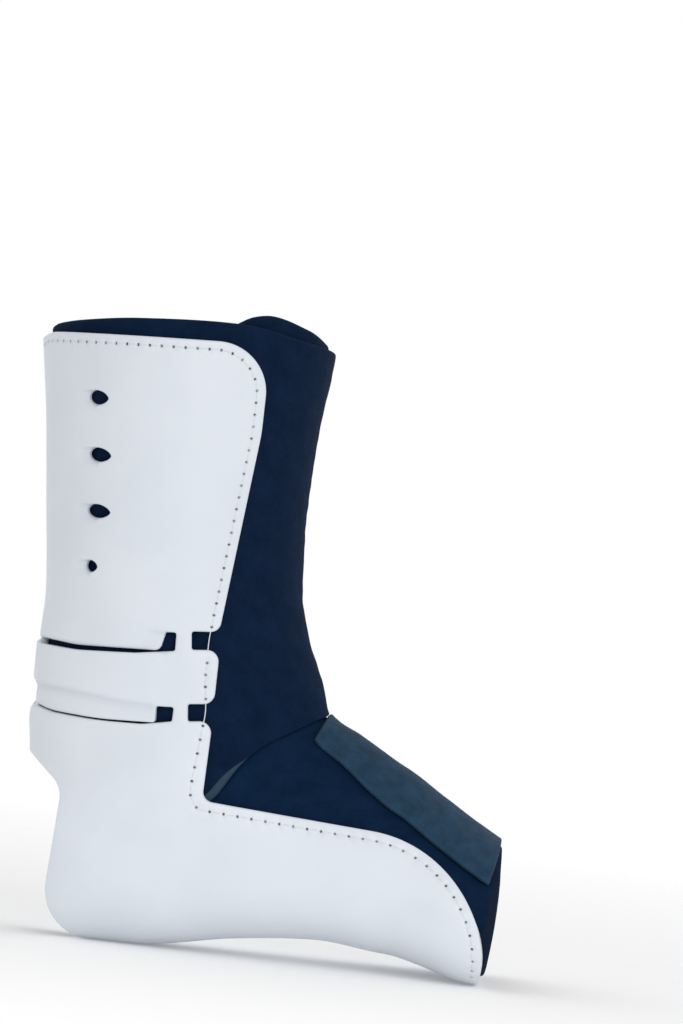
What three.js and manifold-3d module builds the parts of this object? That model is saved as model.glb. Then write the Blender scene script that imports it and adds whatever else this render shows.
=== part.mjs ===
// Foot drop brace for a left foot: a white moulded shell sewn over two dark padded cloth wraps.
// +X points to the toe opening, +Y to the outer side and +Z up. Lengths are in millimetres.
// The brace stands on its sole, and the origin is under the middle of its box.

import * as THREE from "three";
import { mergeVertices } from "three/addons/utils/BufferGeometryUtils.js";
import Module from "manifold-3d";

const wasm = await Module();
wasm.setup();

// Driving dimensions

const CLOTH = 3; // thickness of both wraps
const SHELL_WALL = 3.1; // thickness of the moulded plastic
const TAPE = 1.9; // thickness of the hook tape
const SEAM_GAP = 0.4; // between the cloth and the shell sewn over it
const LAP_GAP = 0.3; // between two layers of cloth that lie on each other
const TAPE_GAP = 0.6; // between the cloth and the tape laid on it

const PIVOT_X = 58.5; // the ankle pivot, a line along Y in front of the instep
const PIVOT_Z = 124.7;
const TURN = 4; // turns are counted in quarters: 0 front, 1 inner side, 2 heel and sole, 3 outer side

const CUFF_TOP = -112; // station where the shell's blank starts
const SEAM_HALF_GAP = 0.15; // half the gap where the leg wrap gives way to the foot wrap
const TOE_SOLE = 129; // stations of the toe opening, at the sole and on the instep
const TOE_INSTEP = 131.3;
const TOE_SLANT_FROM = 0.3; // shares of the way from sole to instep where the toe edge slants
const TOE_SLANT_TO = 0.8;

const LEG_STEP = 15; // spacing of the stations, in millimetres on the leg and foot
const FAN_STEP = 5.1; // and in degrees round the ankle
const QUARTER_STEPS = 7; // facets in a quarter turn
const STATION_CLEAR = 0.5; // a row this near the end of a piece is left out, in stations and in turns
const TURN_CLEAR = 0.04;
const ARC_SAGITTA = 0.25; // how far a facet of a rounded corner may lie off the true arc
const ARC_FACET_MOST = 45; // and the widest angle of one, in degrees
const VENT_FACETS = 10;
const NUDGE = 0.01; // small step that measures a slope on the form

const BLANK_EDGE = 0.4; // turn where the shell's blank ends, well ahead of its outline
const OUTER_FLAP_EDGE = -0.35; // turns of the leg wrap's two edges, which overlap at the front
const INNER_FLAP_EDGE = 4.74;
const TUCK_FROM = 3.4; // between these turns the under flap dips below the outer one
const TUCK_TO = 3.62;

const TAPE_FACETS = 10;
const TAPE_FROM = 42.2; // stations of the tape's two ends on the ridge of the instep
const TAPE_TO = 129.3;
const TAPE_REAR_SLANT = 4.2; // how far the corners of each end lie inside of that
const TAPE_TOE_SLANT = 3.3;
const SLIT = 0.012; // half the slit, in turns, where the foot wrap's edges meet under the tape

const CUT_DEPTH = 200; // depth along Y of the solids that trim a piece from the side

// The outer face of the cloth, a row for each cutting plane. Above the pivot a station is a level plane
// and counts millimetres down to it, from 0 to 90 it is a plane turned about the pivot by that many
// degrees, and past 90 it is an upright plane, in millimetres again. front and back are distances from
// the pivot line, half is half the width, ridge is how far the front point lies off the middle plane,
// widest is the share of the depth where the section is widest, and the two full columns say how square
// the section is before and behind that place.
const SECTIONS = [
  { at: -124, front: 43.8, back: 157.8, half: 50, ridge: 0, widest: 0.52, frontFull: 0.56, backFull: 0.57 },
  { at: -100, front: 45.3, back: 154.2, half: 49, ridge: 0, widest: 0.52, frontFull: 0.56, backFull: 0.57 },
  { at: -75, front: 47.9, back: 150.4, half: 47, ridge: 0, widest: 0.52, frontFull: 0.56, backFull: 0.56 },
  { at: -40, front: 48.3, back: 146.4, half: 43, ridge: 0, widest: 0.51, frontFull: 0.55, backFull: 0.55 },
  { at: -15, front: 46.6, back: 143.5, half: 40.5, ridge: 0, widest: 0.5, frontFull: 0.54, backFull: 0.54 },
  { at: 0, front: 42.5, back: 142.8, half: 39.8, ridge: 0, widest: 0.5, frontFull: 0.53, backFull: 0.53 },
  { at: 12, front: 39.6, back: 145.9, half: 40.3, ridge: -1, widest: 0.47, frontFull: 0.53, backFull: 0.53 },
  { at: 22, front: 38.8, back: 151.8, half: 40.8, ridge: -1.5, widest: 0.44, frontFull: 0.53, backFull: 0.53 },
  { at: 32, front: 39.8, back: 171.0, half: 40, ridge: -2, widest: 0.42, frontFull: 0.53, backFull: 0.56 },
  { at: 41, front: 42.0, back: 179.0, half: 39, ridge: -3, widest: 0.42, frontFull: 0.52, backFull: 0.6 },
  { at: 50, front: 42.8, back: 159.0, half: 38.8, ridge: -4, widest: 0.46, frontFull: 0.5, backFull: 0.66 },
  { at: 62, front: 41.7, back: 131.0, half: 39.5, ridge: -6, widest: 0.54, frontFull: 0.46, backFull: 0.7 },
  { at: 76, front: 43.2, back: 115.6, half: 41, ridge: -8, widest: 0.6, frontFull: 0.42, backFull: 0.74 },
  { at: 90, front: 47.5, back: 114.4, half: 43.5, ridge: -9, widest: 0.62, frontFull: 0.38, backFull: 0.76 },
  { at: 105, front: 56.5, back: 117.3, half: 46.5, ridge: -10, widest: 0.62, frontFull: 0.36, backFull: 0.77 },
  { at: 120, front: 65.6, back: 121.7, half: 49, ridge: -10, widest: 0.62, frontFull: 0.36, backFull: 0.78 },
  { at: 133, front: 72.6, back: 121.9, half: 50.5, ridge: -10, widest: 0.62, frontFull: 0.36, backFull: 0.78 },
];

// Height of the leg wrap's top edge, round the leg from the outer flap to the under flap.
const WRAP_TOP = [
  { turn: -0.35, height: 235.6 },
  { turn: 0, height: 236 },
  { turn: 0.4, height: 238.2 },
  { turn: 0.75, height: 241.8 },
  { turn: 1.2, height: 239.9 },
  { turn: 1.5, height: 237.4 },
  { turn: 1.75, height: 235.4 },
  { turn: 2, height: 233.8 },
  { turn: 2.5, height: 237.5 },
  { turn: 3.2, height: 240.8 },
  { turn: 4, height: 238.4 },
  { turn: 4.35, height: 243 },
  { turn: 4.6, height: 246.3 },
  { turn: 4.74, height: 242.6 },
];

// Station of the seam between the two wraps, from the front round to either side.
const SEAM_LINE = [
  { turn: 0, station: 41.2 },
  { turn: 0.1, station: 41.1 },
  { turn: 0.35, station: 39.0 },
  { turn: 0.65, station: 36.9 },
  { turn: 0.78, station: 37.9 },
  { turn: 0.96, station: 41.3 },
  { turn: 1.15, station: 41.0 },
  { turn: 1.3, station: 40.8 },
];

// Half the width of the tape along the instep.
const TAPE_REACH = [
  { station: 42, reach: 22 },
  { station: 64, reach: 23.2 },
  { station: 85, reach: 28.3 },
  { station: 104, reach: 32.2 },
  { station: 129, reach: 36.3 },
];

// Outlines seen from the side, as corners with the radius that rounds them.
const SHELL_OUTLINE = [
  { x: -130, z: 229.8, radius: 0 },
  { x: -10.6, z: 235.2, radius: 19 },
  { x: -10.6, z: 201, radius: 60 },
  { x: -18.2, z: 124.1, radius: 4 },
  { x: -28.8, z: 123.2, radius: 0.9 },
  { x: -28, z: 116.3, radius: 0.9 },
  { x: -17.2, z: 117.4, radius: 4.5 },
  { x: -17.2, z: 96.6, radius: 4.5 },
  { x: -27.2, z: 95.5, radius: 0.9 },
  { x: -26.5, z: 88.9, radius: 0.9 },
  { x: -16.9, z: 90, radius: 4.5 },
  { x: -17.6, z: 59.4, radius: 4 },
  { x: 95, z: 52.6, radius: 50 },
  { x: 95.6, z: -20, radius: 0 },
  { x: -130, z: -20, radius: 0 },
];

const HEEL_OPENING = [
  { x: -40, z: -4, radius: 0 },
  { x: -75.6, z: 2.5, radius: 21 },
  { x: -72.3, z: 58, radius: 10 },
  { x: -91, z: 73.4, radius: 10 },
  { x: -130, z: 75, radius: 0 },
  { x: -130, z: -30, radius: 0 },
  { x: -40, z: -30, radius: 0 },
];

const UPPER_SLOT = [
  { x: -85, z: 113.3, radius: 0.6 },
  { x: -73, z: 112.7, radius: 40 },
  { x: -40.3, z: 114.6, radius: 3 },
  { x: -38.7, z: 121.8, radius: 0.9 },
  { x: -34.6, z: 122.1, radius: 0.9 },
  { x: -34.4, z: 115.1, radius: 0.9 },
  { x: -50, z: 112.7, radius: 30 },
  { x: -73, z: 111.1, radius: 40 },
  { x: -85, z: 111.5, radius: 0.6 },
];

const LOWER_SLOT = [
  { x: -84.2, z: 89.1, radius: 0 },
  { x: -60, z: 86, radius: 60 },
  { x: -39, z: 87, radius: 1.2 },
  { x: -39.3, z: 93.3, radius: 0.9 },
  { x: -32.5, z: 93.7, radius: 0.9 },
  { x: -32.6, z: 88.2, radius: 0.9 },
  { x: -44, z: 85.8, radius: 10 },
  { x: -60, z: 85.3, radius: 60 },
  { x: -84.2, z: 88.5, radius: 0 },
];

const VENTS = [
  { x: -74.8, z: 208, width: 6.8, height: 5.4 },
  { x: -71.7, z: 186.3, width: 7.4, height: 5.4 },
  { x: -69.7, z: 164.8, width: 7.4, height: 5.4 },
  { x: -70.1, z: 143.5, width: 3.8, height: 4.6 },
];

const WRAP_INSET = 2.5; // the cloth stops this far inside the shell's heel opening

// The form that every piece follows

const degrees = THREE.MathUtils.degToRad;
const smooth = THREE.MathUtils.smoothstep;

/** A smooth curve through one column of a table, read at any place along its key column. */
function columnAt(table, key, column, place) {
  const last = table.length - 1;
  let row = 0;
  while (row < last - 1 && place > table[row + 1][key]) {
    row += 1;
  }
  const slopeAt = (index) => {
    const before = table[Math.max(index - 1, 0)];
    const after = table[Math.min(index + 1, last)];
    return (after[column] - before[column]) / (after[key] - before[key]);
  };
  const start = table[row];
  const end = table[row + 1];
  const length = end[key] - start[key];
  const t = THREE.MathUtils.clamp((place - start[key]) / length, 0, 1);
  const rise = t * t * (3 - 2 * t);
  const lean = t * (1 - t) * length;
  return (
    start[column] * (1 - rise) +
    end[column] * rise +
    lean * ((1 - t) * slopeAt(row) - t * slopeAt(row + 1))
  );
}

function bezier(a, b, c, d, t) {
  const s = 1 - t;
  return s * s * s * a + 3 * s * s * t * b + 3 * s * t * t * c + t * t * t * d;
}

/** The point of the section plane at a depth behind the pivot line. */
function placeInPlane(station, depth, side) {
  if (station < 0) {
    return new THREE.Vector3(PIVOT_X - depth, side, PIVOT_Z - station);
  }
  if (station > 90) {
    return new THREE.Vector3(PIVOT_X + station - 90, side, PIVOT_Z - depth);
  }
  const angle = degrees(station);
  return new THREE.Vector3(PIVOT_X - depth * Math.cos(angle), side, PIVOT_Z - depth * Math.sin(angle));
}

/** A point of the cloth's outer face: each quarter of a section is one curve with four control points. */
function formPoint(station, turn) {
  const at = (column) => columnAt(SECTIONS, "at", column, station);
  const round = THREE.MathUtils.euclideanModulo(turn, TURN);
  const outward = round > 2 ? 1 : -1;
  const fromFront = round > 2 ? TURN - round : round;
  const front = at("front");
  const back = at("back");
  const widest = front + at("widest") * (back - front);
  const half = outward * at("half");
  if (fromFront <= 1) {
    const full = at("frontFull");
    const ridge = at("ridge");
    const depth = bezier(front, front, widest - full * (widest - front), widest, fromFront);
    return placeInPlane(station, depth, bezier(ridge, ridge + full * (half - ridge), half, half, fromFront));
  }
  const full = at("backFull");
  const depth = bezier(widest, widest + full * (back - widest), back, back, fromFront - 1);
  return placeInPlane(station, depth, bezier(half, half, full * half, 0, fromFront - 1));
}

/** The same point moved off the cloth's outer face by a height, outwards if it is positive. */
function raisedPoint(station, turn, height) {
  const along = formPoint(station + NUDGE, turn).sub(formPoint(station - NUDGE, turn));
  const round = formPoint(station, turn + NUDGE).sub(formPoint(station, turn - NUDGE));
  const outward = round.cross(along).normalize();
  return formPoint(station, turn).addScaledVector(outward, height);
}

// Making closed solids

/** The stations from one end to the other: both ends, and those between on a grid that all pieces share. */
function stationsBetween(from, to) {
  const grid = [];
  for (let leg = -LEG_STEP; leg > SECTIONS[0].at; leg -= LEG_STEP) {
    grid.unshift(leg);
  }
  for (let fan = 0; fan < 90; fan += FAN_STEP) {
    grid.push(fan);
  }
  for (let foot = 90; foot < SECTIONS.at(-1).at; foot += LEG_STEP) {
    grid.push(foot);
  }
  const inside = grid.filter((place) => place > from + STATION_CLEAR && place < to - STATION_CLEAR);
  return [from, ...inside, to];
}

/** The turns from one edge to the other, likewise on a shared grid. */
function turnsBetween(from, to) {
  const turns = [from];
  for (let step = Math.ceil(from * QUARTER_STEPS); step / QUARTER_STEPS < to; step += 1) {
    const turn = step / QUARTER_STEPS;
    if (turn > from + TURN_CLEAR && turn < to - TURN_CLEAR) {
      turns.push(turn);
    }
  }
  return [...turns, to];
}

/** A sheet with thickness: point(row, column, face) places its inner face, 0, and its outer face, 1. */
function sheet(rows, columns, point) {
  const positions = [];
  const triangles = [];
  const number = (row, column, face) => (row * columns + column) * 2 + face;
  for (let row = 0; row < rows; row += 1) {
    for (let column = 0; column < columns; column += 1) {
      positions.push(...point(row, column, 0).toArray(), ...point(row, column, 1).toArray());
    }
  }
  const quad = (a, b, c, d) => triangles.push(a, d, c, a, c, b);
  for (let row = 0; row + 1 < rows; row += 1) {
    for (let column = 0; column + 1 < columns; column += 1) {
      const [a, b, c, d] = [[row, column], [row + 1, column], [row + 1, column + 1], [row, column + 1]];
      quad(...[a, b, c, d].map((corner) => number(...corner, 1)));
      quad(...[a, d, c, b].map((corner) => number(...corner, 0)));
    }
    const last = columns - 1;
    quad(number(row, 0, 0), number(row + 1, 0, 0), number(row + 1, 0, 1), number(row, 0, 1));
    quad(number(row, last, 1), number(row + 1, last, 1), number(row + 1, last, 0), number(row, last, 0));
  }
  for (let column = 0; column + 1 < columns; column += 1) {
    const [last, next] = [rows - 1, column + 1];
    quad(number(0, column, 0), number(0, column, 1), number(0, next, 1), number(0, next, 0));
    quad(number(last, column, 1), number(last, column, 0), number(last, next, 0), number(last, next, 1));
  }
  const geometry = new THREE.BufferGeometry();
  geometry.setAttribute("position", new THREE.Float32BufferAttribute(positions, 3));
  geometry.setIndex(triangles);
  return geometry;
}

function solidOf(geometry) {
  const bare = geometry.clone();
  bare.deleteAttribute("normal");
  bare.deleteAttribute("uv");
  const merged = mergeVertices(bare);
  return new wasm.Manifold(
    new wasm.Mesh({
      numProp: 3,
      vertProperties: new Float32Array(merged.attributes.position.array),
      triVerts: new Uint32Array(merged.index.array),
    }),
  );
}

function geometryOf(solid) {
  const { vertProperties, triVerts } = solid.getMesh();
  const geometry = new THREE.BufferGeometry();
  geometry.setAttribute("position", new THREE.BufferAttribute(vertProperties, 3));
  geometry.setIndex(new THREE.BufferAttribute(triVerts, 1));
  geometry.computeVertexNormals();
  return geometry;
}

/** A path along corners, each rounded by an arc of its radius. */
function roundedShape(corners) {
  const points = [];
  corners.forEach((corner, index) => {
    const here = new THREE.Vector2(corner.x, corner.z);
    const before = corners.at(index - 1);
    const after = corners[(index + 1) % corners.length];
    const back = new THREE.Vector2(before.x, before.z).sub(here).normalize();
    const on = new THREE.Vector2(after.x, after.z).sub(here).normalize();
    const opening = Math.acos(THREE.MathUtils.clamp(back.dot(on), -1, 1));
    if (corner.radius === 0) {
      points.push(here);
      return;
    }
    const tangent = corner.radius / Math.tan(opening / 2);
    const middle = back.clone().add(on).normalize();
    const centre = here.clone().addScaledVector(middle, corner.radius / Math.sin(opening / 2));
    const start = here.clone().addScaledVector(back, tangent).sub(centre);
    const sweep = (Math.PI - opening) * Math.sign(back.cross(on)) * -1;
    const facet = 2 * Math.acos(Math.max(0, 1 - ARC_SAGITTA / corner.radius));
    const steps = Math.ceil(Math.abs(sweep) / Math.min(facet, degrees(ARC_FACET_MOST)));
    for (let step = 0; step <= steps; step += 1) {
      points.push(start.clone().rotateAround(new THREE.Vector2(), (sweep * step) / steps).add(centre));
    }
  });
  return new THREE.Shape(points);
}

/** A solid that runs through the brace from side to side with the outline of a shape. */
function sideCut(shape) {
  const settings = { depth: CUT_DEPTH, bevelEnabled: false, curveSegments: VENT_FACETS };
  const geometry = new THREE.ExtrudeGeometry(shape, settings);
  geometry.rotateX(Math.PI / 2);
  geometry.translate(0, CUT_DEPTH / 2, 0);
  return solidOf(geometry);
}

function ellipse({ x, z, width, height }) {
  const shape = new THREE.Shape();
  shape.absellipse(x, z, width / 2, height / 2, 0, 2 * Math.PI);
  return shape;
}

// The four pieces

function makeShell() {
  const stations = stationsBetween(CUFF_TOP, TOE_SOLE);
  const turns = turnsBetween(BLANK_EDGE, TURN - BLANK_EDGE);
  const heights = [SEAM_GAP, SEAM_GAP + SHELL_WALL];
  const blank = sheet(stations.length, turns.length, (row, column, face) =>
    raisedPoint(stations[row], turns[column], heights[face]),
  );
  let shell = solidOf(blank).intersect(sideCut(roundedShape(SHELL_OUTLINE)));
  const cuts = [HEEL_OPENING, UPPER_SLOT, LOWER_SLOT].map(roundedShape).concat(VENTS.map(ellipse));
  for (const cut of cuts) {
    shell = shell.subtract(sideCut(cut));
  }
  const ground = new THREE.BoxGeometry(2 * CUT_DEPTH, CUT_DEPTH, CUT_DEPTH).translate(0, 0, -CUT_DEPTH / 2);
  return geometryOf(shell.subtract(solidOf(ground)));
}

/** The heel opening moved forward and up, so that the cloth's edge stays hidden inside the shell's. */
function clothHeelOpening() {
  return HEEL_OPENING.map(({ x, z, radius }) => ({ x: x + WRAP_INSET, z: z + WRAP_INSET, radius }));
}

/** Station of the seam between the wraps, the same on both sides of the front. */
function seamAt(turn) {
  const fromFront = Math.abs(turn - TURN * Math.round(turn / TURN));
  return columnAt(SEAM_LINE, "turn", "station", fromFront);
}

function makeLegWrap() {
  const turns = turnsBetween(OUTER_FLAP_EDGE, INNER_FLAP_EDGE);
  const stations = stationsBetween(CUFF_TOP, seamAt(2));
  const last = stations.length - 1;
  const tuck = (turn) => -(CLOTH + LAP_GAP) * smooth(turn, TUCK_FROM, TUCK_TO);
  const wrap = sheet(stations.length, turns.length, (row, column, face) => {
    const turn = turns[column];
    const top = PIVOT_Z - columnAt(WRAP_TOP, "turn", "height", turn);
    const ends = { 0: top, [last]: seamAt(turn) - SEAM_HALF_GAP };
    return raisedPoint(ends[row] ?? stations[row], turn, tuck(turn) - CLOTH * (1 - face));
  });
  return geometryOf(solidOf(wrap).subtract(sideCut(roundedShape(clothHeelOpening()))));
}

function makeFootWrap() {
  const stations = stationsBetween(seamAt(2), TOE_SOLE);
  const turns = turnsBetween(SLIT, TURN - SLIT);
  const last = stations.length - 1;
  const wrap = sheet(stations.length, turns.length, (row, column, face) => {
    const turn = turns[column];
    const fromSole = Math.abs(turn - 2) / 2;
    const slant = smooth(fromSole, TOE_SLANT_FROM, TOE_SLANT_TO);
    const toe = THREE.MathUtils.lerp(TOE_SOLE, TOE_INSTEP, slant);
    const ends = { 0: seamAt(turn) + SEAM_HALF_GAP, [last]: toe };
    return raisedPoint(ends[row] ?? stations[row], turn, -CLOTH * (1 - face));
  });
  return geometryOf(solidOf(wrap).subtract(sideCut(roundedShape(clothHeelOpening()))));
}

/** The turn that lies a given way round the cloth from the ridge of the instep. */
function turnAtReach(station, reach) {
  const step = NUDGE * Math.sign(reach);
  let turn = 0;
  let left = Math.abs(reach);
  let here = formPoint(station, 0);
  while (left > 0) {
    const next = formPoint(station, turn + step);
    const stride = next.distanceTo(here);
    turn += step * Math.min(1, left / stride);
    left -= stride;
    here = next;
  }
  return turn;
}

function makeInstepStrap() {
  const stations = stationsBetween(TAPE_FROM, TAPE_TO);
  const heights = [TAPE_GAP, TAPE_GAP + TAPE];
  return sheet(stations.length, TAPE_FACETS + 1, (row, column, face) => {
    const aside = (2 * column) / TAPE_FACETS - 1;
    const from = TAPE_FROM + TAPE_REAR_SLANT * aside * aside;
    const to = TAPE_TO - TAPE_TOE_SLANT * aside * aside;
    const station = THREE.MathUtils.mapLinear(stations[row], TAPE_FROM, TAPE_TO, from, to);
    const reach = aside * columnAt(TAPE_REACH, "station", "reach", station);
    return raisedPoint(station, turnAtReach(station, reach), heights[face]);
  });
}

// The brace

const plastic = new THREE.MeshStandardMaterial({ color: 0xe0e5ec, roughness: 0.4, metalness: 0 });
const legCloth = new THREE.MeshStandardMaterial({ color: 0x14243c, roughness: 0.95, metalness: 0 });
const footCloth = new THREE.MeshStandardMaterial({ color: 0x122336, roughness: 0.95, metalness: 0 });
const tape = new THREE.MeshStandardMaterial({ color: 0x283e55, roughness: 0.9, metalness: 0 });

const brace = new THREE.Group();
const pieces = [
  { name: "shell", geometry: makeShell(), material: plastic },
  { name: "leg_wrap", geometry: makeLegWrap(), material: legCloth },
  { name: "foot_wrap", geometry: makeFootWrap(), material: footCloth },
  { name: "instep_strap", geometry: makeInstepStrap(), material: tape },
];
for (const { name, geometry, material } of pieces) {
  const mesh = new THREE.Mesh(geometry, material);
  mesh.name = name;
  brace.add(mesh);
}

export default brace;
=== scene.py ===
# %% [markdown]
# # A foot drop brace
# A foot drop brace is a stiff support with soft wraps inside. A white moulded shell stands up at the
# back and runs forward as a sole, and it is sewn along its front edge to two dark padded wraps, one in
# the tall cuff and one in the trough, with a strap of hook tape along the instep. The frame that is
# loaded here holds the same four pieces as plain solids, so every piece below is made in the frame's
# own place.

# %% The frame
import bpy
import numpy as np
from mathutils import Matrix
from mathutils.geometry import delaunay_2d_cdt


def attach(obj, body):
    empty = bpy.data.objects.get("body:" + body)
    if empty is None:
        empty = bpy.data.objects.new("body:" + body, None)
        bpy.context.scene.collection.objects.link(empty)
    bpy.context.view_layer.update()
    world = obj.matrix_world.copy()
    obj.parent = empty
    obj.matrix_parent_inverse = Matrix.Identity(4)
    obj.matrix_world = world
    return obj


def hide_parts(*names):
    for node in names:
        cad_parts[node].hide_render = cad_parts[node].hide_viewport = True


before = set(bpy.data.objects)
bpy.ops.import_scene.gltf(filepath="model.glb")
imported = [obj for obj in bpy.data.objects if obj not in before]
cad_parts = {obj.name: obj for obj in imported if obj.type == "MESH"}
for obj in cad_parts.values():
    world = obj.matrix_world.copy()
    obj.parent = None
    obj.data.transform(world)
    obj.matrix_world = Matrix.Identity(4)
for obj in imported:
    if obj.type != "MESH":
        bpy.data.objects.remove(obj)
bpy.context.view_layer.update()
MM = 0.001  # shapes are worked out in millimetres, and put into meshes in metres

# %% [markdown]
# ## The camera
# The brace is seen squarely from its inner side with a long lens, and the camera is rolled a little,
# because the brace leans in the picture while the model stands level on its sole. A camera could be
# aimed with a constraint, but writing its three axes into the matrix shows exactly what it does.

# %% Camera
VIEW_ROLL = np.radians(6.5)
VIEW_MIDDLE = (22.8, 175.0)  # x and z in the middle of the picture
VIEW_PLANE = -22.0  # y of the plane that is in scale
VIEW_DISTANCE = 2500.0
PICTURE_HEIGHT = 394.24  # millimetres on that plane
SENSOR = 36.0


def turned(right, up, place):
    """The matrix of a thing at a place in metres, from where its right side and its top point."""
    pose = np.eye(4)
    pose[:3] = np.column_stack([right, up, np.cross(right, up), place])
    return Matrix(pose.tolist())


lens = bpy.data.cameras.new("camera")
lens.sensor_width = SENSOR
lens.lens = SENSOR * VIEW_DISTANCE / PICTURE_HEIGHT
camera = bpy.data.objects.new("camera", lens)
bpy.context.scene.collection.objects.link(camera)
place = np.array([VIEW_MIDDLE[0], VIEW_PLANE - VIEW_DISTANCE, VIEW_MIDDLE[1]]) * MM
right = np.array([np.cos(VIEW_ROLL), 0, np.sin(VIEW_ROLL)])
up = np.array([-np.sin(VIEW_ROLL), 0, np.cos(VIEW_ROLL)])
camera.matrix_world = turned(right, up, place)
bpy.context.scene.camera = camera
print("lens", round(lens.lens, 1), "mm at", np.round(place, 3).tolist())

# %% [markdown]
# ## The form
# All four pieces follow one surface, the outer face of the cloth. It is a stack of closed sections on
# planes that are square to the side view: level planes up the cuff, planes that fan round the bend, and
# upright planes along the trough. A sculpted mesh could give the same form, but a formula lets every
# piece be laid on it at its own height, so cloth, plastic and tape never run into each other.

# %% Section table
PIVOT_X, PIVOT_Z = 58.5, 124.7  # the line that the planes of the bend fan round
FAN = 90.0  # stations from 0 to here are degrees of the fan, and millimetres above and ahead of it
# A row holds a station, the depths of front and back behind the pivot, half the width, the ridge's place
# across, where between front and back it is widest, and how full the curves before and behind that are.
COLUMNS = ("at", "front", "back", "half", "ridge", "widest", "front_full", "back_full")
SECTIONS = dict(zip(COLUMNS, np.array([
    (-124, 43.8, 157.8, 50.0, 0, 0.52, 0.56, 0.57),
    (-100, 45.3, 154.2, 49.0, 0, 0.52, 0.56, 0.57),
    (-75, 47.9, 150.4, 47.0, 0, 0.52, 0.56, 0.56),
    (-40, 48.3, 146.4, 43.0, 0, 0.51, 0.55, 0.55),
    (-15, 46.6, 143.5, 40.5, 0, 0.50, 0.54, 0.54),
    (0, 42.5, 142.8, 39.8, 0, 0.50, 0.53, 0.53),
    (12, 39.6, 145.9, 40.3, -1, 0.47, 0.53, 0.53),
    (22, 38.8, 151.8, 40.8, -1.5, 0.44, 0.53, 0.53),
    (32, 39.8, 171.0, 40.0, -2, 0.42, 0.53, 0.56),
    (41, 42.0, 179.0, 39.0, -3, 0.42, 0.52, 0.60),
    (50, 42.8, 159.0, 38.8, -4, 0.46, 0.50, 0.66),
    (62, 41.7, 131.0, 39.5, -6, 0.54, 0.46, 0.70),
    (76, 43.2, 115.6, 41.0, -8, 0.60, 0.42, 0.74),
    (90, 47.5, 114.4, 43.5, -9, 0.62, 0.38, 0.76),
    (105, 56.5, 117.3, 46.5, -10, 0.62, 0.36, 0.77),
    (120, 65.6, 121.7, 49.0, -10, 0.62, 0.36, 0.78),
    (133, 72.6, 121.9, 50.5, -10, 0.62, 0.36, 0.78),
], float).T))
REACH = {"front": 42.0, "back": 150.0}  # radius of a column's own line round the pivot
SIDE_REACH = 95.0  # the same for every other column
print(len(SECTIONS["at"]), "sections")


# %% Reading a column smoothly
def smooth_read(keys, values, places):
    """A curve through (keys, values): cubic pieces whose slope at a row is that between its neighbours."""
    last = len(keys) - 1
    before = np.maximum(np.arange(last + 1) - 1, 0)
    after = np.minimum(np.arange(last + 1) + 1, last)
    slope = (values[after] - values[before]) / (keys[after] - keys[before])
    row = np.clip(np.searchsorted(keys, places) - 1, 0, last - 1)
    length = keys[row + 1] - keys[row]
    t = np.clip((places - keys[row]) / length, 0, 1)
    rise = t * t * (3 - 2 * t)
    lean = t * (1 - t) * length * ((1 - t) * slope[row] - t * slope[row + 1])
    return values[row] * (1 - rise) + values[row + 1] * rise + lean


def path_length(station, reach):
    """Length to a station: straight down the cuff, an arc of that radius round the bend, straight ahead."""
    return np.minimum(station, 0) + np.radians(np.clip(station, 0, FAN)) * reach + np.maximum(station - FAN, 0)


def section(column, station):
    """A column of the table at any station, smooth along the line that the column describes."""
    reach = REACH.get(column, SIDE_REACH)
    return smooth_read(path_length(SECTIONS["at"], reach), SECTIONS[column], path_length(station, reach))


# %% Small helpers
def smoothstep(low, high, value):
    """0 below low, 1 above high, and an S between."""
    t = np.clip((value - low) / (high - low), 0, 1)
    return t * t * (3 - 2 * t)


def bump(value, width):
    """A bell: 1 where value is 0, falling off over the width."""
    return np.exp(-((value / width) ** 2))


def bezier(a, b, c, d, t):
    """The cubic curve with four control values."""
    s = 1 - t
    return s**3 * a + 3 * s * s * t * b + 3 * s * t * t * c + t**3 * d


def unit(vectors):
    """The vectors, each divided by its own length."""
    return vectors / np.linalg.norm(vectors, axis=-1, keepdims=True)


def dot(a, b):
    """The dot products of two rows of vectors."""
    return (a * b).sum(-1)


def walked(points, axis=0):
    """Length walked along rows of points, from the first point of a row to every one of it."""
    steps = np.linalg.norm(np.diff(points, axis=axis), axis=-1)
    return np.insert(np.cumsum(steps, axis=axis), 0, 0, axis=axis)


# %% Points of the surface
BACK, ROUND = 2.0, 4.0  # turns from the front to the line down the back, and once round


def in_plane(station, depth, across):
    """The point of a station's plane at a depth behind the pivot line and a distance across."""
    angle = np.radians(np.clip(station, 0, FAN))
    x = PIVOT_X - depth * np.cos(angle) + np.maximum(station - FAN, 0)
    z = PIVOT_Z - depth * np.sin(angle) - np.minimum(station, 0)
    return np.stack(np.broadcast_arrays(x, across, z), axis=-1)


def depth_maker(station):
    """The depth of each station's section as a function of the turn, 0 in front to 2 behind."""
    front, back, widest = (section(name, station) for name in ("front", "back", "widest"))
    front_full, back_full = section("front_full", station), section("back_full", station)
    wide = front + widest * (back - front)

    def depth(turn):
        """Two curves that meet where the section is widest."""
        ahead = bezier(front, front, wide - front_full * (wide - front), wide, np.minimum(turn, 1))
        behind = bezier(wide, wide + back_full * (back - wide), back, back, np.maximum(turn - 1, 0))
        return np.where(turn <= 1, ahead, behind)

    return depth


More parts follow.
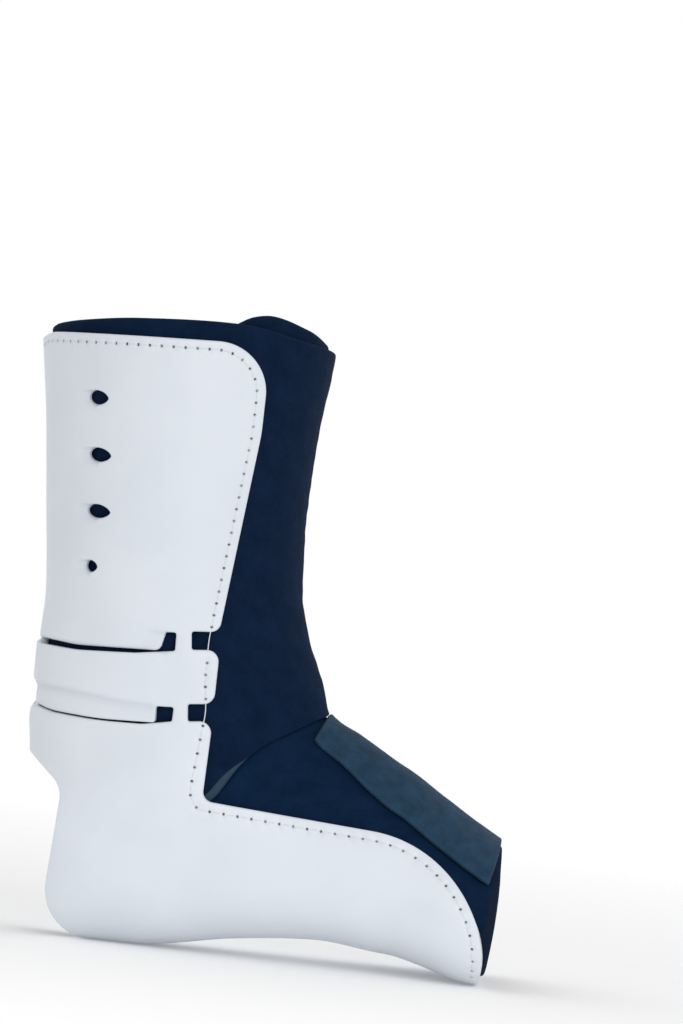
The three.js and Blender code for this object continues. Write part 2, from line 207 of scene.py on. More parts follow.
def form(station, turn):
    """A point of the cloth's outer face. Turn 0 is the front, 1 the inner side, 2 the back and the sole, and
    3 the outer side."""
    station, turn = np.broadcast_arrays(np.asarray(station, float), np.asarray(turn, float))
    whole = np.mod(turn, ROUND)
    near = np.where(whole > BACK, ROUND - whole, whole)
    half = section("half", station) * np.where(whole > BACK, 1, -1)
    ridge, front_full, back_full = (section(name, station) for name in ("ridge", "front_full", "back_full"))
    ahead = bezier(ridge, ridge + front_full * (half - ridge), half, half, np.minimum(near, 1))
    behind = bezier(half, half, back_full * half, 0, np.maximum(near - 1, 0))
    return in_plane(station, depth_maker(station)(near), np.where(near <= 1, ahead, behind))


print("front of the bend", np.round(form(0, 0), 1).tolist(), "heel", np.round(form(41, BACK), 1).tolist())

# %% Points over the surface
NUDGE = 0.01  # step in station or turn that measures a slope
EVEN_STEP = 1.5  # longer step in station, over which a normal is evened out


def raised(station, turn, height):
    """A point moved off the surface along its normal, which is the cross product of its two slopes."""
    along = form(station + EVEN_STEP, turn) - form(station - EVEN_STEP, turn)
    around = form(station, turn + NUDGE) - form(station, turn - NUDGE)
    return form(station, turn) + unit(np.cross(around, along)) * np.asarray(height, float)[..., None]


# %% [markdown]
# ## From the side view back to the surface
# Outlines of the shell are easiest to give as they look from the side. A side view point lies in one
# known plane at one known depth, and the depth grows steadily from the front to the back, so halving an
# interval again and again finds the turn that has it. A projection by ray casting would need a finished
# mesh first, and this needs only the formula.

# %% Side view to station and turn
SHELL_INNER, SHELL_OUTER = 0.4, 3.5  # heights of the shell's two faces over the cloth
HALVINGS = 26


def plane_of(x, z):
    """The station and depth of a side view point, from its place behind and below the pivot."""
    behind, below = PIVOT_X - x, PIVOT_Z - z
    angle = np.degrees(np.arctan2(below, behind))
    station = np.where(below < 0, below, np.where(behind < 0, FAN - behind, angle))
    depth = np.where(below < 0, behind, np.where(behind < 0, below, np.hypot(behind, below)))
    return station, depth


def turn_at(station, depth):
    """The turn on the inner side whose section has that depth, by halving."""
    reach = depth_maker(station)
    low, high = np.zeros_like(depth), np.full_like(depth, BACK)
    for _ in range(HALVINGS):
        middle = (low + high) / 2
        short = reach(middle) < depth
        low, high = np.where(short, middle, low), np.where(short, high, middle)
    return (low + high) / 2


def place_on(x, z, height, rounds=7):
    """Station, turn and whether the side view point is on the form, for a face at a height over the cloth.
    The height moves a point sideways in the view, so the guess is corrected by that much a few times."""
    ground_x, ground_z = x, z
    for _ in range(rounds):
        station, depth = plane_of(ground_x, ground_z)
        turn = turn_at(station, depth)
        shift = raised(station, turn, height) - form(station, turn)
        ground_x, ground_z = x - shift[:, 0], z - shift[:, 2]
    return station, turn, depth < section("back", station)


# %% Outlines with rounded corners
ARC_POINTS = 40
PATH_STEP = 0.05


def rounded_path(corners):
    """A closed side view path along corners (x, z, radius). An arc swings from one side's direction to the
    other's, so its points are the two end radii weighted by sines."""
    table = np.array(corners, float)
    here, radius = table[:, :2], table[:, 2:]
    back, on = (unit(np.roll(here, step, axis=0) - here) for step in (1, -1))
    opening = np.arccos(np.clip(dot(back, on), -1, 1))[:, None]
    swing = np.pi - opening
    centre = here + unit(back + on) * radius / np.sin(opening / 2)
    start, end = (here + side * radius / np.tan(opening / 2) - centre for side in (back, on))
    share = np.linspace(0, 1, ARC_POINTS)[None, :, None]
    first, second = np.sin((1 - share) * swing[:, None]), np.sin(share * swing[:, None])
    arcs = centre[:, None] + (first * start[:, None] + second * end[:, None]) / np.sin(swing)[:, None]
    path = np.concatenate([arcs.reshape(-1, 2), arcs[0, :1]])
    length = walked(path)
    places = np.arange(0, length[-1], PATH_STEP)
    return np.stack([np.interp(places, length, path[:, k]) for k in (0, 1)], axis=1)


# %% [markdown]
# ## The moulded shell
# The shell is one thin plastic moulding, cut like a boot: a tall cuff with vents, a band between two
# slots, and a trough with an open heel. Cutting these out of a thick sheet with boolean modifiers leaves
# ragged edges, so the outline comes first here. A small round profile is carried along every edge, and
# the faces between the edges are filled with a net of triangles that bends with the form.

# %% Shell outlines, as corners with x, z and radius
SHELL_OUTLINE = [
    (-130, 213, 0.01), (-96.2, 231.3, 6), (-10.6, 235.2, 19), (-10.6, 201, 60), (-18.2, 124.1, 4),
    (-28.8, 123.2, 0.9), (-28, 116.3, 0.9), (-17.2, 117.4, 4.5), (-17.2, 96.6, 4.5), (-27.2, 95.5, 0.9),
    (-26.5, 88.9, 0.9), (-16.9, 90, 4.5), (-17.6, 59.4, 4), (95, 52.6, 50), (95.6, -20, 0.01),
    (-130, -20, 0.01),
]
HEEL_OPENING = [
    (-40, -4, 0.01), (-75.6, 2.5, 21), (-72.3, 58, 10), (-91, 73.4, 10), (-130, 75, 0.01),
    (-130, -30, 0.01), (-40, -30, 0.01),
]
UPPER_SLOT = [
    (-87.7, 113.9, 0.9), (-73, 112.9, 40), (-40.3, 114.6, 3), (-38.7, 121.8, 0.9), (-34.6, 122.1, 0.9),
    (-34.4, 115.1, 0.9), (-50, 112.6, 30), (-73, 111.0, 40), (-87.7, 111.5, 0.9),
]
LOWER_SLOT = [
    (-86.2, 87.9, 0.2), (-80.5, 86.4, 30), (-62, 85.75, 150), (-39, 87, 1.2), (-39.3, 93.3, 0.9),
    (-32.5, 93.7, 0.9), (-32.6, 88.2, 0.9), (-44, 85.9, 20), (-62, 85.1, 150), (-80.5, 85.8, 30),
    (-86.2, 87.3, 0.2),
]
VENTS = [  # x and z of the middle, width and height
    (-74.9, 207.8, 8.4, 5.6), (-72.0, 186.1, 9.4, 5.5), (-70.2, 164.6, 9.8, 5.4), (-70.7, 143.4, 5.3, 4.7),
]
VENT_POINTS = 400
VENT_DRAWN = 0.3  # how strongly a vent's front is drawn to a point


def vent_path(x, z, width, height):
    """A closed leaf shape, round behind and drawn to a blunt point in front: an ellipse thinned by the sine
    of half the angle."""
    angle = np.linspace(0, 2 * np.pi, VENT_POINTS, endpoint=False)
    thin = np.sin(angle) * np.sin(angle / 2) ** VENT_DRAWN
    return np.stack([x + width / 2 * np.cos(angle), z + height / 2 * thin / thin.max()], axis=1)


# %% Lines that the relief follows
LEDGE_Z = 121.4  # height of the ledge where the cuff's tongue is pressed in
# The crease under the band and the middles of the two slots, also where these have ended, as lists of x and z.
CREASE_LINE = [-90, -83.5, -68.2, -53.4, -39.6], [96.2, 95.8, 94.6, 93.4, 93.3]
UPPER_LINE = [-90, -86, -73, -60, -42], [112.6, 112.4, 111.9, 112.2, 113.9]
LOWER_LINE = [-90, -86, -80.5, -62, -44, -36], [87.8, 87.5, 86.1, 85.4, 86.3, 88.5]


def from_lines(x, z):
    """Heights over the crease, over the upper slot and under the lower slot, at each x."""
    crease, upper, lower = (np.interp(x, *line) for line in (CREASE_LINE, UPPER_LINE, LOWER_LINE))
    return z - crease, z - upper, lower - z


def behind_windows(x):
    """0 beside the slots' upright ends, and 1 behind them."""
    return smoothstep(-38.6, -42, x)


# %% Dents and shaded places
SCOOP_LENGTH, SCOOP_DEPTH = 7.0, 2.4  # the dent that leads into a vent from behind
SCOOP_START = 2.0  # it begins this far inside the vent
# how dark the painted shade is under the cuff's lip, on the ledge and in the crease
RECESS_SHADE = 0.6


def scoops(x, z):
    """1 at the rear of each vent, running out behind it, with a steep wall above and a gentle one below."""
    deep = np.zeros_like(x)
    for vent_x, vent_z, width, height in VENTS:
        behind = np.clip((vent_x - width / 2 + SCOOP_START - x) / SCOOP_LENGTH, 0, 1)
        under = smoothstep(vent_z + 0.54 * height, vent_z + 0.3 * height, z)
        above = smoothstep(vent_z - 0.95 * height, vent_z - 0.05 * height, z)
        deep = np.maximum(deep, (1 - behind) ** 1.6 * under * above * (x < vent_x))
    return deep


def painted_recess_shade(x, z):
    """Shade painted where the light falls off: the scoops, the cuff's lower lip, the ledge beside the upper
    slot's upright end and the crease under the band."""
    over, up, down = from_lines(x, z)
    lip = smoothstep(3.2, 1.0, up) * smoothstep(-0.3, 0.3, up) * smoothstep(-41, -46, x)
    ledge = bump(z - LEDGE_Z, 1.0) * smoothstep(-47, -40, x) * (x < -38)
    crease = np.where(over > 0, bump(over, 0.8), bump(over, 2.4)) * behind_windows(x)
    crease = crease * smoothstep(0.3, -0.3, down)
    return np.maximum(scoops(x, z), RECESS_SHADE * np.maximum.reduce([lip, ledge, crease]))


# %% Relief of the shell's outer face
BAND_PROUD = (0.35, 0.5)  # how far the band stands out, and how much more at the back
GROOVE_DEEP = (0.5, 0.3)  # the same for the crease's depth
UNDER_STEP = 0.45  # the face stays this much lower below the crease, at the back
LIP_DEEP = (1.2, -0.5)  # how far the cuff's lower lip is pressed in, and the change at the back
TONGUE_DEEP = 0.8
RIM_PROUD, RIM_FADE = 0.3, 7.0  # the trough's rim under the lower slot, and over what height it runs out
HEEL_FLARE = np.array([  # how far the back of the trough stands out at each distance below the lower slot
    (0, 0.5), (1.2, 1.3), (3, 1.8), (6, 2.1), (10, 2.05), (14, 1.8), (17, 1.45), (20, 1.0), (26, 0.5),
    (36, 0),
]).T


def shell_relief(x, z):
    """How far the outer face stands off its plain height: the band is proud, the crease under it sinks, the
    trough's rim flares out, the cuff's lower lip and tongue are pressed in, and vents have scoops behind."""
    rear = smoothstep(-36, -78, x)
    over, up, down = from_lines(x, z)
    below = np.maximum(down, 0)
    relief = (BAND_PROUD[0] + BAND_PROUD[1] * rear) * smoothstep(-0.6, 1.6, over) * smoothstep(0.9, -0.9, up)
    relief = relief * behind_windows(x)
    groove = (GROOVE_DEEP[0] + GROOVE_DEEP[1] * rear) * np.where(over > 0, bump(over, 1.3), bump(over, 3.0))
    groove = groove + UNDER_STEP * rear * smoothstep(0, -3, over)
    relief = relief - groove * behind_windows(x) * smoothstep(0.3, -0.3, down)
    flare = smooth_read(HEEL_FLARE[0], HEEL_FLARE[1], below) * smoothstep(-60, -80, x)
    flare = flare + RIM_PROUD * np.exp(-below / RIM_FADE) * smoothstep(-22, -40, x)
    relief = relief + flare * smoothstep(-0.2, 0.4, down)
    tongue = TONGUE_DEEP * smoothstep(-58, -44, x) * smoothstep(122.6, 120.6, z) * (x < -36.5)
    lip = (LIP_DEEP[0] + LIP_DEEP[1] * rear) * smoothstep(2.3, 0.5, up) * smoothstep(-39, -46, x)
    relief = relief - np.maximum(tongue, lip) * smoothstep(-0.3, 0.3, up)
    return relief - SCOOP_DEPTH * scoops(x, z)


# %% Edges of the shell on the surface
EDGE_STEP, EDGE_TURN = 1.25, np.radians(16)  # longest step along an edge, and the most it may turn in one


def run_on_form(path):
    """Stations and turns of those points of a side view path that are on the form, in the order of one run,
    and whether they are all of them."""
    station, turn, on_form = place_on(path[:, 0], path[:, 1], SHELL_OUTER)
    closed = bool(on_form.all())
    first = 0 if closed else np.flatnonzero(on_form & ~np.roll(on_form, 1))[0]
    keep = np.roll(np.arange(len(path)), -first)[: on_form.sum()]
    return station[keep], turn[keep], closed


def edge_on_shell(path, material_inside):
    """An edge's stations and turns, closed or with both ends on the back line, and which way the plastic lies.
    Steps are even in a cost that adds length and turning, so tight corners get more points."""
    area = np.sum(path[:, 0] * np.roll(path[:, 1], -1) - np.roll(path[:, 0], -1) * path[:, 1])
    sign = 1 if (area > 0) == material_inside else -1
    station, turn, closed = run_on_form(path)
    if closed:
        station, turn = np.append(station, station[0]), np.append(turn, turn[0])
    else:
        turn[[0, -1]] = BACK
    step = np.diff(raised(station, turn, SHELL_OUTER), axis=0)
    size = np.linalg.norm(step, axis=1)
    heading = step / size[:, None]
    bend = np.arccos(np.clip(dot(heading[1:], heading[:-1]), -1, 1))
    cost = np.append(0, np.cumsum(size / EDGE_STEP + np.append(bend, 0) / EDGE_TURN))
    places = np.linspace(0, cost[-1], int(np.ceil(cost[-1])) + 1)[: -1 if closed else None]
    return np.interp(places, cost, station), np.interp(places, cost, turn), closed, sign


edge_paths = [(rounded_path(SHELL_OUTLINE), True)]
edge_paths += [(rounded_path(corners), False) for corners in (UPPER_SLOT, LOWER_SLOT, HEEL_OPENING)]
edge_paths += [(vent_path(*vent), False) for vent in VENTS]
edges = [edge_on_shell(*entry) for entry in edge_paths]
print("edge points", [len(edge[0]) for edge in edges])


# %% Small moves on the shell's face
def shifted(station, turn, move, rounds=4):
    """Station and turn after a small move along the shell's face: its two slopes, as a skewed ruler, measure
    it, and what is still missing is measured again, because the slopes change where the planes fan."""
    start = raised(station, turn, SHELL_OUTER)
    for _ in range(rounds):
        left = move - (raised(station, turn, SHELL_OUTER) - start)
        along = raised(station + NUDGE, turn, SHELL_OUTER) - raised(station - NUDGE, turn, SHELL_OUTER)
        around = raised(station, turn + NUDGE, SHELL_OUTER) - raised(station, turn - NUDGE, SHELL_OUTER)
        along, around = along / (2 * NUDGE), around / (2 * NUDGE)
        aa, ab, bb = dot(along, along), dot(along, around), dot(around, around)
        la, lb = dot(left, along), dot(left, around)
        spread = aa * bb - ab * ab
        station, turn = station + (la * bb - lb * ab) / spread, turn + (lb * aa - la * ab) / spread
    return station, turn


def normal_at(station, turn):
    """The shell's unit normal at each point."""
    return raised(station, turn, SHELL_OUTER + 1) - raised(station, turn, SHELL_OUTER)


def left_of_edge(station, turn, closed):
    """Unit vectors to the left of an edge, at each of its points, seen from outside."""
    if closed:
        wide_station, wide_turn = (np.concatenate([a[-1:], a, a[:1]]) for a in (station, turn))
    else:
        wide_station = np.concatenate([station[1:2], station, station[-2:-1]])
        wide_turn = np.concatenate([ROUND - turn[1:2], turn, ROUND - turn[-2:-1]])
    points = raised(wide_station, wide_turn, SHELL_OUTER)
    return np.cross(normal_at(station, turn), unit(points[2:] - points[:-2]))


# %% [markdown]
# The round profile is carried along each edge as a set of rings. A ring is the edge moved into the
# plastic by a little and set at its own height, so the rings together make the softened rim.

# %% Rings along every edge
RIM_ROUND, RIM_UNDER = 0.8, 0.35  # radii that soften the outer and the inner corner of an edge
quarter = np.linspace(0, np.pi / 2, 5)
half_as_many = quarter[::2]
rim_inset = np.concatenate([
    RIM_ROUND * (1 - np.sin(quarter)), RIM_UNDER * (1 - np.cos(half_as_many)), [RIM_ROUND],
])
rim_height = np.concatenate([
    SHELL_OUTER - RIM_ROUND * (1 - np.cos(quarter)), SHELL_INNER + RIM_UNDER * (1 - np.sin(half_as_many)),
    [SHELL_INNER],
])
rings = []
for station, turn, closed, sign in edges:
    into = left_of_edge(station, turn, closed) * sign
    moved = [shifted(station, turn, into * inset) for inset in rim_inset]
    ring_station, ring_turn = np.moveaxis(np.array(moved), 1, 0)
    if not closed:
        ring_turn[:, [0, -1]] = BACK
    rings.append((ring_station, ring_turn, closed))
print("ring points", sum(ring[0].size for ring in rings))

# %% [markdown]
# ## Needle holes
# The shell is sewn to the wraps through a row of holes a few millimetres inside its front edge. They
# could be painted on, but a real hole has a shade of its own from every side, so each one is a small cup
# of rings in the net. The floor of each cup is also painted dark, as painted shade down the hole and the
# navy cloth behind it.

# %% The stitch line and its holes
STITCH_LINE = [
    (-130, 209.5, 0.01), (-96.2, 227.9, 6), (-14.2, 231.8, 16), (-14.2, 201, 40), (-21.4, 127, 8),
    (-21.7, 106, 30), (-20, 94, 20), (-22.4, 66, 20), (-22.2, 56, 6), (91.6, 49.2, 46.6), (92.2, -20, 0.01),
    (-130, -20, 0.01),
]
CUFF_PITCH, TROUGH_PITCH = 4.6, 5.4
PITCH_CHANGE = 20.0  # station where one takes over from the other
ROW_ENDS = (0.5, 0.3)  # shares of a pitch that are left before the first hole and after the last
MOUTHS = ((115.4, 124.6), (88.4, 96.6))  # heights of the two notches that the thread spans in the air
MOUTH_X = -40.0  # they lie ahead of this
SOLE_CLEAR = 7.0  # the row stops this high, before it would be walked on


def stitch_places():
    """Stations and turns of the needle holes, at an even pitch, leaving out those over the notches."""
    station, turn, _ = run_on_form(rounded_path(STITCH_LINE))
    step = np.linalg.norm(np.diff(raised(station, turn, SHELL_OUTER), axis=0), axis=1)
    pitch = np.where(station < PITCH_CHANGE, CUFF_PITCH, TROUGH_PITCH)
    cost = np.append(0, np.cumsum(step / pitch[1:]))
    places = np.arange(ROW_ENDS[0], cost[-1] - ROW_ENDS[1])
    station, turn = np.interp(places, cost, station), np.interp(places, cost, turn)
    x, _, z = form(station, turn).T
    over_notch = np.any([(z > low) & (z < high) & (x > MOUTH_X) for low, high in MOUTHS], axis=0)
    keep = ~over_notch & (z > SOLE_CLEAR)
    return station[keep], turn[keep]


hole_station, hole_turn = stitch_places()
print(len(hole_station), "needle holes on the inner side")

# %% A cup for every hole
HOLE_RINGS = (  # radius, number of points, depth, and by what share of a step it is turned
    (0.0, 1, -1.1, 0), (0.42, 8, -0.95, 0), (0.56, 8, 0.0, 0.5), (0.78, 8, 0.0, 0),
)
around = unit(form(hole_station, hole_turn + NUDGE) - form(hole_station, hole_turn))
across = np.cross(normal_at(hole_station, hole_turn), around)
cups = []
for radius, count, sink, twist in HOLE_RINGS:
    angle = (2 * np.pi * (np.arange(count) + twist) / count)[:, None, None]
    move = radius * (np.cos(angle) * around + np.sin(angle) * across)
    spread = (np.broadcast_to(values, move.shape[:2]) for values in (hole_station, hole_turn))
    cup_station, cup_turn = shifted(*spread, move)
    cups.append(np.stack([cup_station, cup_turn, np.full_like(cup_turn, sink)], axis=-1).reshape(-1, 3))
cups = np.concatenate(cups)
print(len(cups), "points of cups")

# %% [markdown]
# ## Filling the faces
# Half of the shell, from its front edges to the line down its back, is laid out flat: each section is
# unrolled forwards from the back line. In that flat picture the edges are fences, a triangular grid of
# points fills the plastic between them, and a triangulation joins them. The same triangles, put back on
# the form at two heights, give the outer and the inner face, and the other half is its mirror image.

# %% Unrolling
UNROLL_TURNS = np.linspace(BACK, 0.25, 90)  # the shell ends well before the last of these


def unrolled_lengths(station):
    """Length round each section from the back line to every sampled turn."""
    return walked(form(station[:, None], UNROLL_TURNS[None, :]), axis=1)


def read_rows(rows, keys, places):
    """Each row's own curve (row over keys) inverted at that row's place, by straight lines between samples."""
    column = np.clip((rows < places[:, None]).sum(1), 1, rows.shape[1] - 1)
    line = np.arange(len(rows))
    low, high = rows[line, column - 1], rows[line, column]
    share = np.clip((places - low) / np.maximum(high - low, 1e-9), 0, 1)
    return keys[column - 1] + share * (keys[column] - keys[column - 1])


def unroll(station, turn):
    """Flat place of a point: in its own plane, ahead of the back line by its length round the section."""
    lengths = unrolled_lengths(station)
    spot = (BACK - turn) / (BACK - UNROLL_TURNS[-1]) * (len(UNROLL_TURNS) - 1)
    column = np.clip(spot.astype(int), 0, len(UNROLL_TURNS) - 2)
    line = np.arange(len(station))
    low, high = lengths[line, column], lengths[line, column + 1]
    ahead = low + (spot - column) * (high - low)
    return in_plane(station, section("back", station) - ahead, 0.0)[:, [0, 2]]


def roll_up(flat):
    """Station and turn of a flat place, the other way round."""
    station, depth = plane_of(flat[:, 0], flat[:, 1])
    ahead = section("back", station) - depth
    return station, read_rows(unrolled_lengths(station), UNROLL_TURNS, ahead)


# %% Points of the fences
SPINE_SAMPLES, SPINE_STEP = 400, 2.0  # the back line joins the ends of open edges
fence_rows = [(ring_station[0], ring_turn[0], closed) for ring_station, ring_turn, closed in rings]
fence_count = np.array([len(row[0]) for row in fence_rows])
fence_first = np.append(0, np.cumsum(fence_count))[:-1]
ends = np.sort(np.concatenate([row[0][[0, -1]] for row in fence_rows if not row[2]]))
spines = []
for low, high in zip(ends[::2], ends[1::2]):
    dense = np.linspace(low, high, SPINE_SAMPLES)
    length = walked(form(dense, BACK))
    places = np.linspace(0, length[-1], int(np.ceil(length[-1] / SPINE_STEP)) + 1)
    spines.append(np.interp(places, length, dense)[1:-1])
fence_station = np.concatenate([row[0] for row in fence_rows] + spines)
fence_turn = np.concatenate([row[1] for row in fence_rows] + [np.full_like(spine, BACK) for spine in spines])
fence_flat = unroll(fence_station, fence_turn)
print("fence points", len(fence_flat), "back line stations", np.round(ends, 1).tolist())

# %% Fences
links, end_numbers = [], []
for first, count, (_, _, closed) in zip(fence_first, fence_count, fence_rows):
    row = first + np.arange(count)
    links.append(np.stack([row, np.roll(row, -1)], axis=1)[: None if closed else -1])
    end_numbers += [] if closed else [row[0], row[-1]]
end_numbers = np.array(end_numbers)
end_numbers = end_numbers[np.argsort(fence_station[end_numbers])]
number = fence_count.sum()
for pair, spine in zip(end_numbers.reshape(-1, 2), spines):
    row = np.concatenate([pair[:1], number + np.arange(len(spine)), pair[1:]])
    links.append(np.stack([row[:-1], row[1:]], axis=1))
    number += len(spine)
links = np.concatenate(links)
fence_from, fence_to = fence_flat[links[:, 0]], fence_flat[links[:, 1]]
print(len(links), "fence pieces")

# %% Grid points and where they are kept
GRID_X, GRID_Z = (-106, 104), (-2, 250)  # the flat picture's sides
BLOCK = 2000  # points that are measured at once, to spare memory
WINDOW_X = -36  # relief of the band and the cuff's lip lies behind this


def grid_points(spacing):
    """Rows of points, every second row moved by half a step."""
    columns, rows = np.arange(*GRID_X, spacing), np.arange(*GRID_Z, spacing * np.sqrt(0.75))
    x, z = np.meshgrid(columns, rows)
    x = x + (np.arange(len(rows)) % 2)[:, None] * spacing / 2
    return np.stack([x.ravel(), z.ravel()], axis=1)


def inside_fences(flat):
    """Even-odd test: a point is inside if a ray from it along +x crosses an odd number of fence pieces."""
    x, z = flat[:, :1], flat[:, 1:]
    run, rise = (fence_to - fence_from).T
    crosses = (fence_from[:, 1] > z) != (fence_to[:, 1] > z)
    meet = fence_from[:, 0] + (z - fence_from[:, 1]) * run / np.where(rise == 0, 1, rise)
    return (crosses & (x < meet)).sum(1) % 2 == 1


def nearest(points, others):
    """Distance from each point to the nearest of the others."""
    parts = np.array_split(points, max(1, len(points) // BLOCK))
    return np.concatenate([np.sqrt(((p[:, None] - others[None]) ** 2).sum(2)).min(1) for p in parts])


def by_vents(x, z, behind, ahead, beside):
    """Whether a point is no further than these three from the middle of some vent."""
    return np.any([
        (x > vent_x - behind) & (x < vent_x + ahead) & (np.abs(z - vent_z) < beside)
        for vent_x, vent_z, _, _ in VENTS
    ], axis=0)


def fineness(x, z):
    """0 where the coarse grid does, 1 where relief is finer than that, and 2 in the scoops behind vents."""
    over, up, down = from_lines(x, z)
    by_crease = (down < 2.5) & (over < 4.5) & (x < WINDOW_X)
    by_lip = (np.abs(up) < 3.6) & (x < WINDOW_X)
    by_tongue = (x > -60) & (x < -35) & (z > 113) & (z < 125)
    return np.where(by_vents(x, z, 9, -1, 4), 2, by_crease | by_lip | by_tongue | by_vents(x, z, 11, 5.5, 5.5))


# %% Points of the net
SPACINGS = (2.6, 0.85, 0.45)  # coarse, fine and finest grid
VENT_REACH = 16.0  # the finest is laid no further than this from a vent
FENCE_CLEAR = 0.5  # points keep this share of their spacing from the fences
CUP_CLEAR = 0.9  # and this distance from the cups
vent_flat = unroll(*place_on(*np.array(VENTS)[:, :2].T, SHELL_OUTER)[:2])
filling = []
for level, spacing in enumerate(SPACINGS):
    flat = grid_points(spacing)
    if level == 2:
        flat = flat[nearest(flat, vent_flat) < VENT_REACH]
    flat = flat[inside_fences(flat)]
    flat_station, flat_turn = roll_up(flat)
    x, _, z = form(flat_station, flat_turn).T
    keep = np.flatnonzero(fineness(x, z) == level)
    keep = keep[nearest(flat[keep], fence_flat) > FENCE_CLEAR * spacing]
    filling.append(np.column_stack([flat_station, flat_turn, np.zeros(len(flat))])[keep])
filling = np.concatenate(filling)
clear = nearest(unroll(filling[:, 0], filling[:, 1]), unroll(cups[:, 0], cups[:, 1])) > CUP_CLEAR
fences = np.column_stack([fence_station, fence_turn, np.zeros(len(fence_station))])
net_station, net_turn, net_sink = np.concatenate([fences, cups, filling[clear]]).T
print("net points", len(net_station))

# %% Triangles of the net
net_flat = unroll(net_station, net_turn)
found = delaunay_2d_cdt(net_flat.tolist(), links.tolist(), [], 0, 1e-6)
origin = np.array([ids[0] for ids in found[3]])
triangles = origin[np.array(found[2])]
triangles = triangles[inside_fences(net_flat[triangles].mean(axis=1))]
a, b, c = (net_flat[triangles[:, k]] for k in range(3))
turned_left = (b[:, 0] - a[:, 0]) * (c[:, 1] - a[:, 1]) - (b[:, 1] - a[:, 1]) * (c[:, 0] - a[:, 0]) > 0
triangles = np.where(turned_left[:, None], triangles, triangles[:, ::-1])
print("net triangles", len(triangles))


# %% Meshes from arrays
def squares(numbers, around=False):
    """Corners of a grid's squares, by point number. If it goes around, its last column meets the first."""
    beside = np.roll(numbers, -1, axis=1)
    if not around:
        numbers, beside = numbers[:, :-1], beside[:, :-1]
    return np.stack([numbers[:-1], beside[:-1], beside[1:], numbers[1:]], axis=-1).reshape(-1, 4)


def make_piece(name, points, faces, attributes=None, cloth_map=None):
    """An object at the origin with its points in millimetres, its faces as lists of corner arrays, smooth
    shaded. A point that no face uses is left out."""
    used, corners = np.unique(np.concatenate([part.ravel() for part in faces]), return_inverse=True)
    parts = np.split(corners, np.cumsum([part.size for part in faces])[:-1])
    faces = [part.reshape(old.shape) for part, old in zip(parts, faces)]
    mesh = bpy.data.meshes.new(name)
    mesh.from_pydata((points[used] * MM).tolist(), [], [corner for part in faces for corner in part.tolist()])
    mesh.polygons.foreach_set("use_smooth", np.ones(len(mesh.polygons), bool))
    for key, values in (attributes or {}).items():
        carried = mesh.attributes.new(key, "FLOAT", "POINT")
        carried.data.foreach_set("value", values[used].astype(np.float32))
    if cloth_map is not None:
        layer = mesh.uv_layers.new(name="cloth")
        layer.data.foreach_set("uv", cloth_map[used][corners].astype(np.float32).ravel())
    mesh.update()
    piece = bpy.data.objects.new(name, mesh)
    bpy.context.scene.collection.objects.link(piece)
    print(name, len(used), "points", sum(len(part) * (part.shape[1] - 2) for part in faces), "triangles")
    return piece


# %% Half of the shell
count = len(net_station)
half_faces = [triangles, triangles[:, ::-1] + count]
half_rows = [  # stations, turns, heights and shares of rim, for the outer face, the inner one and every rim
    (net_station, net_turn, SHELL_OUTER + net_sink, np.zeros(count)),
    (net_station, net_turn, np.full(count, SHELL_INNER), np.zeros(count)),
]
total = 2 * count
for first, (ring_station, ring_turn, closed), (_, _, _, sign) in zip(fence_first, rings, edges):
    length = ring_station.shape[1]
    between = total + np.arange((len(rim_inset) - 2) * length).reshape(-1, length)
    edge_row = first + np.arange(length)
    faces = squares(np.concatenate([edge_row[None], between, edge_row[None] + count]), closed)
    half_faces.append(faces if sign < 0 else faces[:, ::-1])
    half_rows.append((ring_station[1:-1].ravel(), ring_turn[1:-1].ravel(),
                      np.repeat(rim_height[1:-1], length), np.ones(between.size)))
    total += between.size
half_station, half_turn, half_height, half_rim = (np.concatenate(part) for part in zip(*half_rows))
print("half of the shell", total, "points")

# %% Both halves
HOLE_SHADE, HOLE_SEED = (0.45, 1.0), 5  # how dark the needle holes are painted, for shade down each hole and the navy cloth behind, each by chance
needle = np.zeros(total)
strength = np.random.default_rng(HOLE_SEED).uniform(*HOLE_SHADE, len(hole_station))
cup_shade = np.concatenate([np.tile(strength, count) * (sink < 0) for _, count, sink, _ in HOLE_RINGS])
needle[len(fences):len(fences) + len(cups)] = cup_shade
off_seam = half_turn != BACK
mirror_number = np.where(off_seam, total + np.cumsum(off_seam) - 1, np.arange(total))


def mirrored(values, other_values=None):
    """Values of one half, followed by those of the other half, which has no points of its own on the seam."""
    return np.concatenate([values, (values if other_values is None else other_values)[off_seam]])


shell_station, shell_turn = mirrored(half_station), mirrored(half_turn, ROUND - half_turn)
shell_height = mirrored(half_height)
x, _, z = raised(shell_station, shell_turn, SHELL_OUTER).T
share = np.clip((shell_height - SHELL_INNER) / (SHELL_OUTER - SHELL_INNER), 0, 1)
shell_points = raised(shell_station, shell_turn, shell_height + share * shell_relief(x, z))
shell_points[:, 2] = np.maximum(shell_points[:, 2], 0)
shell_faces = half_faces + [mirror_number[part][:, ::-1] for part in half_faces]
# painted_shade carries shade painted into the finish where the relief dents and creases
shell = make_piece("moulded_shell", shell_points, shell_faces, {
    "needle": mirrored(needle), "rim": mirrored(half_rim), "painted_shade": painted_recess_shade(x, z) * share,
})

# %% [markdown]
# ## Padded cloth
# The two wraps are foam between a brushed outer cloth and a lining, about three millimetres thick, sewn
# and closed with hook and loop. A cloth simulation would let them sag, but the shell and the closed flaps
# hold them stretched to one shape, so the same surface is used and softened with gentle unevenness.
# Each wrap is a grid of turns and stations with two faces that meet in a round edge.

# %% Rows and columns of a sheet
END_STEPS = np.array([0, 0.12, 0.4, 0.8, 1.3, 2.0, 3.0])  # distances of the rows nearest to an edge
COLUMN_SAMPLES = 140


